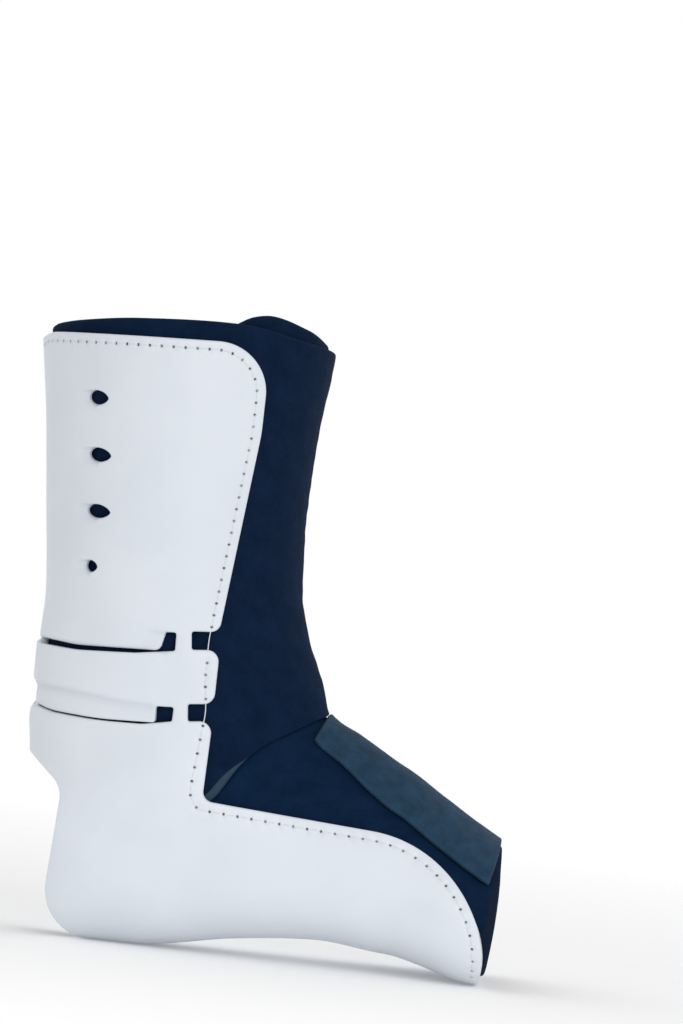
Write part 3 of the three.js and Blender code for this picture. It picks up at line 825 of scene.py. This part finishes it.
def spaced(length, step):
    """Distances along a length: close together at both ends, and about a step apart between."""
    count = int(np.ceil((length - 2 * END_STEPS[-1]) / step))
    between = np.linspace(END_STEPS[-1], length - END_STEPS[-1], count + 1)[1:-1]
    return np.concatenate([END_STEPS, between, length - END_STEPS[::-1]])


def column_stations(turn, first, last, step):
    """Stations of a grid whose columns run from first to last at their own turns, and each row's distance from
    both ends. Lengths are measured along every column, so the rows keep their distances from the edges."""
    dense = first + np.linspace(0, 1, COLUMN_SAMPLES)[:, None] * (last - first)
    length = walked(form(dense, turn[None]))
    near_rows = len(END_STEPS)
    plan = spaced(length[-1].mean(), step)
    inner = (plan - plan[near_rows - 1]) / (plan[-near_rows] - plan[near_rows - 1])
    middle = END_STEPS[-1] + inner[:, None] * (length[-1] - 2 * END_STEPS[-1])
    row = np.arange(len(plan))[:, None]
    from_end = len(plan) - 1 - row
    at_start = END_STEPS[np.minimum(row, near_rows - 1)]
    at_end = length[-1] - END_STEPS[np.minimum(from_end, near_rows - 1)]
    place = np.where(row < near_rows, at_start, np.where(from_end < near_rows, at_end, middle))
    station = np.stack([np.interp(place[:, k], length[:, k], dense[:, k]) for k in range(len(turn))], axis=1)
    return station, place, length[-1] - place


# %% Gentle unevenness
WAVES = 16


def soft_waves(points, length, seed):
    """Unevenness about 1 in size: sine waves that run in seeded directions, about a length apart, added up."""
    rng = np.random.default_rng(seed)
    heading = unit(rng.normal(size=(WAVES, 3)))
    pace = 2 * np.pi / length * rng.uniform(0.6, 1.6, WAVES)
    phase = rng.uniform(0, 2 * np.pi, WAVES)
    return np.sin(points @ (heading * pace[:, None]).T + phase).sum(-1) / np.sqrt(WAVES / 2)


def unevenness(points, level, waves):
    """A level plus soft waves, each given by its size, length and seed."""
    for size, length, seed in waves:
        level = level + size * soft_waves(points, length, seed)
    return level


# %% A sheet with round edges
def sheet_piece(name, station, turn, from_edge, middle, thickness, edge_reach, cloth_map, attributes):
    """A closed sheet: two faces half a thickness to either side of a middle height, which come together over
    the edge's reach as an ellipse does, so the first and last row and column are shared by both."""
    half = thickness / 2 * np.sqrt(1 - (1 - np.clip(from_edge / edge_reach, 0, 1)) ** 2)
    inside = (slice(1, -1), slice(1, -1))
    outer = np.arange(station.size).reshape(station.shape)
    inner = outer.copy()
    inner[inside] = station.size + np.arange(inner[inside].size).reshape(inner[inside].shape)
    points = [raised(station, turn, middle + half).reshape(-1, 3),
              raised(station[inside], turn[inside], (middle - half)[inside]).reshape(-1, 3)]

    def both(values):
        """Values of the grid for the outer face's points, then for those that only the inner face has."""
        return np.concatenate([part.reshape(-1, *values.shape[2:]) for part in (values, values[inside])])

    return make_piece(name, np.concatenate(points), [squares(outer), squares(inner)[:, ::-1]],
                      {key: both(values) for key, values in attributes.items()}, both(cloth_map))


# %% Cloth outlines
CLOTH = 3.0
LAP_GAP = 0.3  # between the two flaps where they lap at the front
OUTER_FLAP, INNER_FLAP = -0.35, 4.79  # turns of the two flap edges
TUCK_FROM, TUCK_TO = 3.4, 3.62  # turns over which the inner flap goes under
SEAM_LAP, LAP_THIN = 0.7, 1.65  # each wrap reaches this far past the seam, thinned by this much to lap
BUTT_GAP = 0.12  # and stops this far before it where the two only meet
THIN_FIRST = 0.4  # share of a change from meeting to lapping in which the edges only grow thin
CUT_FADE, TUCK_FADE = 0.12, (0.05, 0.17)  # turns from the heel opening and from the tuck for that change
CUT_INSET = 2.5  # the cloth's heel opening stays this far inside the shell's
CROWD_STEPS = np.array([0.0, 0.15, 0.4, 0.8, 1.4, 2.2])  # columns behind the foremost point of the opening
SEAM_RISE = 1.12  # turn where the seam begins to rise to the foremost point of the heel opening
WRAP_TOP = np.array([  # height of the leg wrap's top edge at each turn
    (-0.35, 235.6), (0, 236), (0.4, 238.2), (0.75, 241.8), (1.2, 239.9), (1.5, 237.4), (1.75, 235.4),
    (2, 233.8), (2.5, 237.5), (3.2, 240.8), (4, 238.4), (4.35, 243), (4.58, 246.3), (4.7, 245), (4.79, 241),
]).T
SEAM_LINE = np.array([  # station of the seam at each turn from the front to either side
    (0, 41.2), (0.1, 41.1), (0.35, 39.0), (0.65, 36.9), (0.78, 37.9), (0.96, 41.3), (1.15, 41.0), (1.3, 40.8),
]).T

path = rounded_path([(x + CUT_INSET, z + CUT_INSET, radius) for x, z, radius in HEEL_OPENING])
cut_station, cut_turn, on_form = place_on(path[:, 0], path[:, 1], 0.0, rounds=1)
cut_station, cut_turn = cut_station[on_form], cut_turn[on_form]
foremost = np.argmin(cut_turn)
low_cut = np.maximum.accumulate(cut_turn[foremost::-1]), cut_station[foremost::-1]
high_cut = np.maximum.accumulate(cut_turn[foremost:]), cut_station[foremost:]
CUT_TURN = cut_turn[foremost]
print("heel cut from turn", round(CUT_TURN, 3), "at station", round(cut_station[foremost], 1))


# %% The seam between the wraps
def from_front(turn):
    """Turns away from the front, the short way round."""
    return np.abs(turn - ROUND * np.round(turn / ROUND))


def along_seam(turn):
    """1 where the wraps' edges lap, and 0 at the heel opening and beside the place where the flap tucks in."""
    from_tuck = np.abs(np.mod(turn, ROUND) - (TUCK_FROM + TUCK_TO) / 2) - (TUCK_TO - TUCK_FROM) / 2
    return smoothstep(CUT_TURN, CUT_TURN - CUT_FADE, from_front(turn)) * smoothstep(*TUCK_FADE, from_tuck)


def seam_station(turn, cut, side):
    """Station of a wrap's edge: along the seam, up to the foremost point of the heel opening, along that."""
    near = from_front(turn)
    seam = smooth_read(SEAM_LINE[0], SEAM_LINE[1], near)
    seam = seam + (cut[1][0] - seam) * smoothstep(SEAM_RISE, CUT_TURN, near)
    lapped = smoothstep(THIN_FIRST, 1, along_seam(turn))
    lap = np.degrees((SEAM_LAP * lapped - BUTT_GAP * (1 - lapped)) / depth_maker(seam)(near))
    return np.where(near < CUT_TURN, seam, np.interp(near, cut[0], cut[1])) - side * lap


def lap_thinning(turn, from_seam, reach):
    """How much thinner a wrap is: by the lap's share, along its seam, fading over the reach (from, to)."""
    return LAP_THIN * smoothstep(*reach, from_seam) * smoothstep(0, THIN_FIRST, along_seam(turn))


# %% Columns of a wrap
TURN_SAMPLES = 600


def turn_columns(first, last, at_station, step):
    """Turns of a grid's columns, spaced by length round one section, and closer where the heel opens."""
    dense = np.linspace(first, last, TURN_SAMPLES)
    length = walked(form(at_station, dense))
    opening = np.interp([CUT_TURN, ROUND - CUT_TURN], dense, length)
    crowd = opening[:, None] + np.array([[1], [-1]]) * CROWD_STEPS
    place = np.unique(np.concatenate([spaced(length[-1], step), crowd.ravel()]))
    return np.interp(place, length, dense), place, length[-1] - place


def from_line(points, turn, cut, side):
    """Distance of each point of a grid from the wrap's edge line, also where that line runs along a column."""
    dense = np.interp(np.linspace(0, len(turn) - 1, 4 * len(turn)), np.arange(len(turn)), turn)
    line = form(seam_station(dense, cut, side), dense)
    return nearest(points.reshape(-1, 3), line).reshape(points.shape[:2])


# %% [markdown]
# ## The leg wrap
# It goes once round inside the cuff and laps over itself at the front, so its last fifth is tucked under.
# It could be two pieces joined at the side, but real wraps are one cut, so this is one sheet as well. Its
# lower edge at the instep stands a little proud, and a paler strip is painted along it for the sheen and
# grey foam cut edge of that lifted edge.

# %% Leg wrap
WRAP_STEP = 1.9  # between rows and between columns
LEG_MIDDLE = -60.0  # station where the columns are spaced
LEG_WAVES = 0.22, ((0.16, 30, 3), (0.07, 9, 4))
CALM = (0, 8)  # unevenness begins over this distance from the seam
SHEEN_STRIP_WIDE, SHEEN_STRIP_BACK = 3.3, 0.2  # widest part of the paler strip painted as sheen and grey cut edge, and how much of it is hidden at the edge
HEM_LIFT, HEM_FADE = 0.45, 3.0  # how proud the lower edge stands, and how soon that fades
turn, left_edge, right_edge = turn_columns(OUTER_FLAP, INNER_FLAP, LEG_MIDDLE, WRAP_STEP)
top_station = PIVOT_Z - smooth_read(WRAP_TOP[0], WRAP_TOP[1], turn)
low_station = seam_station(turn, high_cut, -1)
station, from_top, from_bottom = column_stations(turn, top_station, low_station, WRAP_STEP)
turn_grid = np.broadcast_to(turn, station.shape)
points = form(station, turn_grid)
from_bottom = np.minimum(from_bottom, from_line(points, turn, high_cut, -1))
from_edge = np.minimum(np.minimum(from_top, from_bottom), np.minimum(left_edge, right_edge))
near = from_front(turn_grid)
under = smoothstep(TUCK_FROM, TUCK_TO, turn_grid)
height = -(CLOTH + LAP_GAP) * under - np.abs(unevenness(points, *LEG_WAVES)) * smoothstep(*CALM, from_bottom)
lift = HEM_LIFT * np.exp(-from_bottom / HEM_FADE) * smoothstep(0.95, 0.8, near) * smoothstep(0.05, 0.2, near)
thickness = CLOTH - lap_thinning(turn_grid, from_bottom, (2.4, 1.7))
middle = height + lift * (1 - under) - thickness / 2
# a pale strip painted along the lifted lower edge, for its sheen and grey foam cut edge
binding_and_sheen = SHEEN_STRIP_WIDE * smoothstep(0.70, 0.94, near) * (near < 1.1) - from_bottom - SHEEN_STRIP_BACK
cloth_map = np.stack(np.broadcast_arrays(left_edge, from_top), axis=-1)
leg_wrap = sheet_piece("leg_wrap_cloth", station, turn_grid, from_edge, middle, thickness, thickness / 2,
                       cloth_map, {"binding_and_sheen": binding_and_sheen, "edge": smoothstep(1.2, 0.2, from_edge)})

# %% [markdown]
# ## The foot wrap
# The second wrap lies in the trough. It is open in front and at the heel, and a fine slit along the
# instep closes under the strap. It could be a closed tube, but the slit is where the real one is opened,
# so the sheet begins and ends there.

# %% Foot wrap
SLIT = 0.012  # half of the slit, in turns
TAPE_PRESS = 0.9  # the strap's rear end presses this far into the padding
OPEN_SOLE, OPEN_INSTEP = 129.0, 131.3  # stations of the front rim, below and above
OPEN_SLANT = (0.3, 0.8)
FOOT_MIDDLE, FOOT_STEP = 80.0, 1.7
FOOT_WAVES = 0.2, ((0.14, 26, 7), (0.06, 8, 8))
BINDING = 3.6  # width of the strip along the front rim
turn, left_edge, right_edge = turn_columns(SLIT, ROUND - SLIT, FOOT_MIDDLE, WRAP_STEP)
rim_station = OPEN_SOLE + (OPEN_INSTEP - OPEN_SOLE) * smoothstep(*OPEN_SLANT, np.abs(turn - BACK) / 2)
station, from_top, from_rim = column_stations(turn, seam_station(turn, low_cut, 1), rim_station, FOOT_STEP)
turn_grid = np.broadcast_to(turn, station.shape)
points = form(station, turn_grid)
from_top = np.minimum(from_top, from_line(points, turn, low_cut, 1))
from_edge = np.minimum(np.minimum(from_top, from_rim), np.minimum(left_edge, right_edge))
press = smoothstep(52, 46, station) * smoothstep(0.5, 0.36, from_front(turn_grid))
press = press * smoothstep(0.6, 2.0, from_top)
height = -np.abs(unevenness(points, *FOOT_WAVES)) * smoothstep(*CALM, from_top) - TAPE_PRESS * press
lap = lap_thinning(turn_grid, from_top, (2.2, 1.6))
cloth_map = np.stack(np.broadcast_arrays(left_edge, from_top), axis=-1)
foot_wrap = sheet_piece("foot_wrap_cloth", station, turn_grid, from_edge, height - (CLOTH + lap) / 2,
                        CLOTH - lap, (CLOTH - lap) / 2, cloth_map,
                        {"binding_and_sheen": BINDING - from_rim, "edge": smoothstep(1.2, 0.2, from_edge)})

# %% [markdown]
# ## The instep strap
# A broad band of hook tape lies along the instep. Tape is woven flat and stays flat, so it is a plain
# sheet that follows the ridge, with edges only as round as its own selvage. A strip with a Shrinkwrap
# modifier would do too, but here its gap to the cloth is known everywhere.

# %% Outline of the strap
TAPE_FROM, TAPE_TO = 42.2, 129.3  # stations of the ends on the ridge
REAR_SLANT, FRONT_SLANT = 4.2, 3.3  # how far the corners of the two ends lie inside of these
TAPE_REACH = np.array([(42, 22), (64, 23.2), (85, 28.3), (104, 32.2), (129, 36.3)]).T  # half of the width
TAPE_STEP = 1.4
RIDGE_SAMPLES = 300
SIDE_TURNS = np.linspace(-1.2, 1.2, 241)  # the ridge is in the middle of these
ridge = np.linspace(TAPE_FROM, TAPE_TO, RIDGE_SAMPLES)
ridge_length = walked(form(ridge, 0.0))
along_tape = spaced(ridge_length[-1], TAPE_STEP)
share = (np.interp(along_tape, ridge_length, ridge) - TAPE_FROM) / (TAPE_TO - TAPE_FROM)
mean_width = 2 * TAPE_REACH[1].mean()
sideways = 2 * spaced(mean_width, TAPE_STEP) / mean_width - 1
start, end = TAPE_FROM + REAR_SLANT * sideways**2, TAPE_TO - FRONT_SLANT * sideways**2
station = start + share[:, None] * (end - start)
half_width = smooth_read(TAPE_REACH[0], TAPE_REACH[1], station)
round_length = walked(form(station.reshape(-1, 1), SIDE_TURNS[None]), axis=1)
round_length -= round_length[:, [len(SIDE_TURNS) // 2]]
turn_grid = read_rows(round_length, SIDE_TURNS, (sideways * half_width).ravel()).reshape(station.shape)
print("strap", round(ridge_length[-1], 1), "mm along the ridge")

# %% Instep strap
TAPE_THICK, TAPE_GAP = 1.9, 0.6
TAPE_EDGE = 0.45  # its cut edge is rounded over this width
TAPE_WAVES = 0.0, ((0.04, 22, 11), (0.02, 7, 12))
TIP_DROP = 0.6  # the rear tip on the ridge is bent down this far into the bend of the wraps
from_rear, from_rim = along_tape[:, None], ridge_length[-1] - along_tape[:, None]
from_edge = np.minimum(np.minimum(from_rear, from_rim), (1 - np.abs(sideways)) * half_width)
height = unevenness(form(station, turn_grid), *TAPE_WAVES) - TAPE_PRESS * smoothstep(10, 0, from_rear)
height = height - TIP_DROP * smoothstep(4, 0, from_rear) * smoothstep(0.7, 0.2, np.abs(sideways))
cloth_map = np.stack(np.broadcast_arrays((1 + sideways) * half_width, from_rear), axis=-1)
strap = sheet_piece("instep_tape", station, turn_grid, from_edge, TAPE_GAP + TAPE_THICK / 2 + height,
                    TAPE_THICK, TAPE_EDGE, cloth_map, {"edge": smoothstep(1.6, 0.4, from_edge)})

# %% [markdown]
# ## Sewing thread
# One white thread dips into each needle hole and comes up on the way to the next, and it crosses the two
# notches in the air. A curve with a bevel could draw it, but every stitch here is a short tube of six
# sides whose ends go down the holes, so it is a plain mesh like the rest.

# %% Thread
THREAD = 0.2  # radius
HOLE_ROOM = 0.3  # a stitch starts this far from the middle of its hole
STITCH_POINTS, THREAD_SIDES = 8, 6
STITCH_SINK, STITCH_RISE = 0.8, 0.85  # depth of a stitch's ends, and its rise from there
STITCH_FLAT = 0.3  # the smaller, the flatter it lies between


def stitches(station, turn):
    """Tubes between neighbouring holes: a middle line that leaves one hole, lies on the face and enters the
    next, with a ring of points round each of its points."""
    share = np.linspace(HOLE_ROOM / CUFF_PITCH, 1 - HOLE_ROOM / CUFF_PITCH, STITCH_POINTS)[None, :]
    line_station = station[:-1, None] + share * np.diff(station)[:, None]
    line_turn = turn[:-1, None] + share * np.diff(turn)[:, None]
    arch = np.sin(np.pi * np.linspace(0, 1, STITCH_POINTS)) ** STITCH_FLAT
    rise = np.broadcast_to(SHELL_OUTER - STITCH_SINK + STITCH_RISE * arch, line_turn.shape)
    seen = raised(line_station, line_turn, SHELL_OUTER)
    line = raised(line_station, line_turn, rise + shell_relief(seen[..., 0], seen[..., 2]))
    normal = raised(line_station, line_turn, rise + 1) - raised(line_station, line_turn, rise)
    aside = unit(np.cross(line[:, -1:] - line[:, :1], normal))
    above = np.cross(aside, unit(np.gradient(line, axis=1)))
    angle = np.linspace(0, 2 * np.pi, THREAD_SIDES, endpoint=False)[:, None]
    return line[:, :, None] + THREAD * (np.cos(angle) * aside[:, :, None] + np.sin(angle) * above[:, :, None])


tubes = np.concatenate([stitches(hole_station, hole_turn), stitches(hole_station, ROUND - hole_turn)])
numbers = np.arange(tubes.size // 3).reshape(tubes.shape[:3])
beside, ahead = np.roll(numbers, -1, axis=2), numbers[:, 1:]
sides = np.stack([numbers[:, :-1], ahead, beside[:, 1:], beside[:, :-1]], axis=-1).reshape(-1, 4)
caps = np.concatenate([numbers[:, 0], numbers[:, -1, ::-1]])
thread = make_piece("sewing_thread", tubes.reshape(-1, 3), [sides, caps])


# %% [markdown]
# ## Finishes
# Each finish is a small network of nodes. Python's own operators are used to write it: a wire is a node's
# output, adding or multiplying wires adds Math nodes, and any other node comes from one method.

# %% Wires
class Wire:
    """A node's output. Arithmetic on wires adds Math nodes, so a formula reads as it is written."""

    def __init__(self, finish, socket):
        self.finish, self.socket = finish, socket

    def math(self, operation, *values):
        """A Math node on values that are wires or numbers."""
        return self.finish.node("ShaderNodeMath", {"operation": operation}, dict(enumerate(values)))

    def __add__(self, other):
        return self.math("ADD", self, other)

    def __rsub__(self, other):
        return self.math("SUBTRACT", other, self)

    def __mul__(self, other):
        return self.math("MULTIPLY", self, other)

    __radd__ = __add__

    def sine(self):
        """The sine of a wire in radians."""
        return self.math("SINE", self)


# %% Finishes
MIX_SHARE, MIX_FIRST, MIX_SECOND, MIX_COLOUR = 0, 6, 7, 2  # a Mix node's sockets for colours


class Finish:
    """A material or world whose nodes are made in code."""

    def __init__(self, owner):
        self.owner = owner
        owner.use_nodes = True
        self.tree = owner.node_tree
        self.tree.nodes.clear()

    def node(self, kind, settings=None, inputs=None, output=0):
        """A node of a type: its settings are set first, then the values or wires of its sockets."""
        made = self.tree.nodes.new(kind)
        for key, value in (settings or {}).items():
            setattr(made, key, value)
        for key, value in (inputs or {}).items():
            if isinstance(value, Wire):
                self.tree.links.new(value.socket, made.inputs[key])
            else:
                made.inputs[key].default_value = value
        return Wire(self, made.outputs[output]) if made.outputs else None

    def place(self, system="Object"):
        """A point's place on the object in metres, or by another system of coordinates."""
        return self.node("ShaderNodeTexCoord", output=system)

    def cloth_place(self):
        """A point's place on the flat cloth, in millimetres."""
        return self.node("ShaderNodeUVMap", {"uv_map": "cloth"})

    def part(self, place, axis):
        """One of the three numbers of a place."""
        return self.node("ShaderNodeSeparateXYZ", {}, {"Vector": place}, axis)

    def noise(self, place, scale, detail=2.0):
        """Soft random values about 0.5, with about that many lumps to a unit of length."""
        return self.node("ShaderNodeTexNoise", {}, {"Vector": place, "Scale": scale, "Detail": detail})

    def carried(self, name):
        """A value that the mesh carries on its points."""
        return self.node("ShaderNodeAttribute", {"attribute_name": name}, {}, "Fac")

    def mix(self, share, first, second):
        """The first colour where the share is 0, and the second where it is 1."""
        inputs = {MIX_SHARE: share, MIX_FIRST: first, MIX_SECOND: second}
        return self.node("ShaderNodeMix", {"data_type": "RGBA"}, inputs, MIX_COLOUR)

    def steps(self, value, low, high):
        """0 below low, 1 above high, and a straight ramp between."""
        limits = {"From Min": low, "From Max": high, "To Min": 0.0, "To Max": 1.0}
        return self.node("ShaderNodeMapRange", {}, {"Value": value, **limits})

    def bumped(self, strength, distance, height):
        """A normal that leans as if the surface rose by the height times that distance in metres."""
        return self.node("ShaderNodeBump", {}, {"Strength": strength, "Distance": distance, "Height": height})

    def surface(self, inputs):
        """The owner, with one surface shader that has these inputs."""
        shaded = self.node("ShaderNodeBsdfPrincipled", {}, inputs)
        self.node("ShaderNodeOutputMaterial", {}, {"Surface": shaded})
        return self.owner


# %% [markdown]
# The shell is polypropylene with a satin skin: nearly white and a little cool, with a fine orange peel,
# a faint cloudiness from moulding, and a greyer, rubbed look along its trimmed edges. An image could hold
# the rubbed edges, but the mesh knows where its rims are, so values carried on its points do it.

# %% White plastic
def white_plastic():
    """Two near whites by clouds, greyer on the rims by scuffs, with painted shade in hollows, and nearly black
    in the needle holes, painted for their shade and the navy cloth behind.
    """
    finish = Finish(bpy.data.materials.new("satin_white_plastic"))
    place = finish.place()
    cloud, scuff = finish.noise(place, 28.0, 3.0), finish.noise(place, 160.0, 4.0)
    peel = finish.noise(place, 900.0)
    rim, needle, painted_shade = finish.carried("rim"), finish.carried("needle"), finish.carried("painted_shade")
    colour = finish.mix(finish.steps(cloud, 0.35, 0.65), (0.70, 0.745, 0.80, 1), (0.735, 0.78, 0.835, 1))
    colour = finish.mix(rim * 0.35 * finish.steps(scuff, 0.3, 0.7), colour, (0.60, 0.64, 0.70, 1))
    # painted shade: greyer where the shell is dented or creased, as the light would fall off there
    colour = finish.mix(painted_shade * 0.45, colour, (0.45, 0.48, 0.53, 1))
    # the needle holes are painted nearly black, for the shade down them and the navy cloth behind
    colour = finish.mix(needle, colour, (0.05, 0.06, 0.08, 1))
    return finish.surface({
        "Base Color": colour, "Roughness": 0.36 + scuff * 0.12 + needle * 0.4, "Specular IOR Level": 0.3,
        "Normal": finish.bumped(0.25, 0.00008, peel + cloud * 0.5),
    })


# %% [markdown]
# The wraps have a brushed nylon face: deep navy, matt, with a soft sheen where the pile catches light at
# a slant. Pile leans in patches, so the colour wanders a little. Hair could make a pile, but this one is
# shorter than a pixel, so noise on the flat cloth does it. The hook tape is greyer, with rows of tiny
# hooks that give it a grain in two directions.

# %% Brushed cloth
def brushed_cloth(name, dark, light, binding_and_sheen_colour):
    """Dark to light by patches of leaning pile, another colour along the binding and sheen strip (the foot
    wrap's binding, and on the leg wrap a painted sheen on its lifted edge), and lighter at cut edges.
    """
    finish = Finish(bpy.data.materials.new(name))
    place = finish.cloth_place()
    pile, patch = finish.noise(place, 2.2, 3.0), finish.noise(place, 0.11, 3.0)
    lean = finish.noise(place, 0.5)
    binding_and_sheen, edge = finish.carried("binding_and_sheen"), finish.carried("edge")
    shade = finish.steps(patch * 0.6 + lean * 0.25 + pile * 0.15, 0.35, 0.65)
    colour = finish.mix(shade, dark, light)
    # the binding and sheen strip: a binding on the foot wrap, and on the leg wrap a pale strip painted as the
    # sheen and grey cut edge of its lifted edge
    colour = finish.mix(finish.steps(binding_and_sheen, -0.15, 0.15), colour, binding_and_sheen_colour)
    colour = finish.mix(edge * 0.3, colour, light)
    return finish.surface({
        "Base Color": colour, "Roughness": 0.8 + pile * 0.2, "Specular IOR Level": 0.04,
        "Normal": finish.bumped(0.7, 0.00035, pile + lean * 0.4),
        "Sheen Weight": 0.025, "Sheen Roughness": 0.45, "Sheen Tint": (0.5, 0.68, 0.95, 1),
    })


# %% Hook tape and thread
HOOK_PACE = 7.0  # radians of a row of hooks to a millimetre


def hook_tape():
    """Two blue greys by patches and grain, lighter at cut edges, with hooks as the product of two sines."""
    finish = Finish(bpy.data.materials.new("hook_tape"))
    place = finish.cloth_place()
    across, along = finish.part(place, "X"), finish.part(place, "Y")
    hooks = (across * HOOK_PACE).sine() * (along * HOOK_PACE).sine()
    patch, grain = finish.noise(place, 0.16, 3.0), finish.noise(place, 1.4, 3.0)
    shade = finish.steps(patch * 0.7 + grain * 0.3, 0.36, 0.64)
    colour = finish.mix(shade, (0.009, 0.035, 0.068, 1), (0.018, 0.055, 0.104, 1))
    colour = finish.mix(finish.carried("edge") * 0.35, colour, (0.03, 0.066, 0.105, 1))
    return finish.surface({
        "Base Color": colour, "Roughness": 0.62 + grain * 0.2, "Specular IOR Level": 0.12,
        "Normal": finish.bumped(0.6, 0.0003, hooks * 0.4 + grain),
        "Sheen Weight": 0.06, "Sheen Roughness": 0.4, "Sheen Tint": (0.6, 0.7, 0.85, 1),
    })


def white_thread():
    """Two whites by fine fibres."""
    finish = Finish(bpy.data.materials.new("white_thread"))
    fibre = finish.noise(finish.place(), 2500.0)
    colour = finish.mix(fibre, (0.66, 0.69, 0.73, 1), (0.78, 0.81, 0.85, 1))
    return finish.surface({
        "Base Color": colour, "Roughness": 0.6 + fibre * 0.2, "Normal": finish.bumped(0.4, 0.0001, fibre),
    })


# %% Finishes on their pieces
finishes = {
    shell: white_plastic(),
    # The third colour: on the leg cloth a pale strip painted as the sheen and grey cut edge of its lifted
    # lower edge, on the foot cloth the darker binding along its front rim.
    leg_wrap: brushed_cloth("navy_leg_cloth", (0.0030, 0.0110, 0.032, 1), (0.0056, 0.0165, 0.046, 1),
                            (0.034, 0.062, 0.092, 1)),
    foot_wrap: brushed_cloth("navy_foot_cloth", (0.0026, 0.0125, 0.035, 1), (0.0048, 0.0190, 0.053, 1),
                             (0.009, 0.016, 0.034, 1)),
    strap: hook_tape(),
    thread: white_thread(),
}
for piece, material in finishes.items():
    piece.data.materials.append(material)
print(len(finishes), "finishes")

# %% [markdown]
# ## Where each piece belongs
# Every piece is fixed to the one body of the brace and takes the place of the plain solid it was made
# after. The thread belongs to the shell that it is sewn through.

# %% Places
BELONGS = (
    (shell, "shell", "plastic"), (thread, "shell", "plastic"), (leg_wrap, "leg_wrap", "leg_cloth"),
    (foot_wrap, "foot_wrap", "foot_cloth"), (strap, "instep_strap", "tape"),
)
for piece, node, slot in BELONGS:
    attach(piece, "root")
    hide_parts(node)
print(len(BELONGS), "pieces belong to the root")

# %% [markdown]
# ## Light
# The picture is a bright cut-out: light comes from all round, a broad soft lamp before the brace gives
# the white plastic its shape, and a lower one fills the shade under the trough. The floor is a pale disc
# whose rim fades into the white behind it. A closed white room would do as well, but it hides the brace
# from other sides.

# %% Floor
FLOOR_RADIUS, FLOOR_POINTS = 1.2, 96
FLOOR_DROP = 0.3  # millimetres below the sole
FLOOR_FADE = (1.0, 0.25)  # distances in metres where the floor is gone and where it is whole


def pale_floor():
    """Two pale greys by grain, a little light of its own, and clear towards the rim."""
    finish = Finish(bpy.data.materials.new("pale_floor"))
    place = finish.place()
    reach = finish.node("ShaderNodeVectorMath", {"operation": "LENGTH"}, {0: place}, "Value")
    colour = finish.mix(finish.noise(place, 40.0), (0.90, 0.90, 0.90, 1), (0.92, 0.92, 0.92, 1))
    return finish.surface({
        "Base Color": colour, "Roughness": 0.9, "Specular IOR Level": 0.0,
        "Alpha": finish.steps(reach, *FLOOR_FADE), "Emission Color": colour, "Emission Strength": 0.14,
    })


angle = np.linspace(0, 2 * np.pi, FLOOR_POINTS, endpoint=False)
disc = np.stack([np.cos(angle), np.sin(angle), np.zeros(FLOOR_POINTS)], axis=1) * FLOOR_RADIUS / MM
floor = make_piece("floor", disc - np.array([0, 0, FLOOR_DROP]), [np.arange(FLOOR_POINTS)[None]])
floor.data.materials.append(pale_floor())


# %% Lamps
def soft_lamp(name, place, target, size, power):
    """A square lamp at a place in metres, turned to its target."""
    data = bpy.data.lights.new(name, "AREA")
    data.size, data.energy = size, power
    lamp = bpy.data.objects.new(name, data)
    bpy.context.scene.collection.objects.link(lamp)
    back = unit(np.array(place, float) - np.array(target, float))
    side = unit(np.cross([0, 0, 1.0], back))
    lamp.matrix_world = turned(side, np.cross(back, side), place)
    print(name, "at", place)


soft_lamp("front_lamp", (0.6, -1.65, 0.8), (0, 0, 0.12), 1.0, 7.0)
soft_lamp("low_lamp", (0.25, -1.35, 0.3), (0, 0, 0.05), 0.5, 2.8)

# %% World
FRONT_LEVEL, TOP_LEVEL = 0.56, 0.1  # light from the front, and what is added from above
BEHIND = (-0.2, 0.5)  # share of a heading's way to the back over which the light grows to full white


def white_room():
    """Light from all round: white behind the brace, dimmer in front and below, where the lamps take over."""
    room = Finish(bpy.data.worlds.new("white_room"))
    heading = room.place("Generated")
    behind = room.steps(room.part(heading, "Y"), *BEHIND)
    above = room.steps(room.part(heading, "Z"), 0.0, 1.0)
    level = FRONT_LEVEL + behind * (1 - FRONT_LEVEL) + above * (1 - behind) * TOP_LEVEL
    light = room.node("ShaderNodeBackground", {}, {"Color": (1, 1, 1, 1), "Strength": level})
    room.node("ShaderNodeOutputWorld", {}, {"Surface": light})
    return room.owner


bpy.context.scene.world = white_room()
bpy.context.scene.view_settings.view_transform = "Standard"
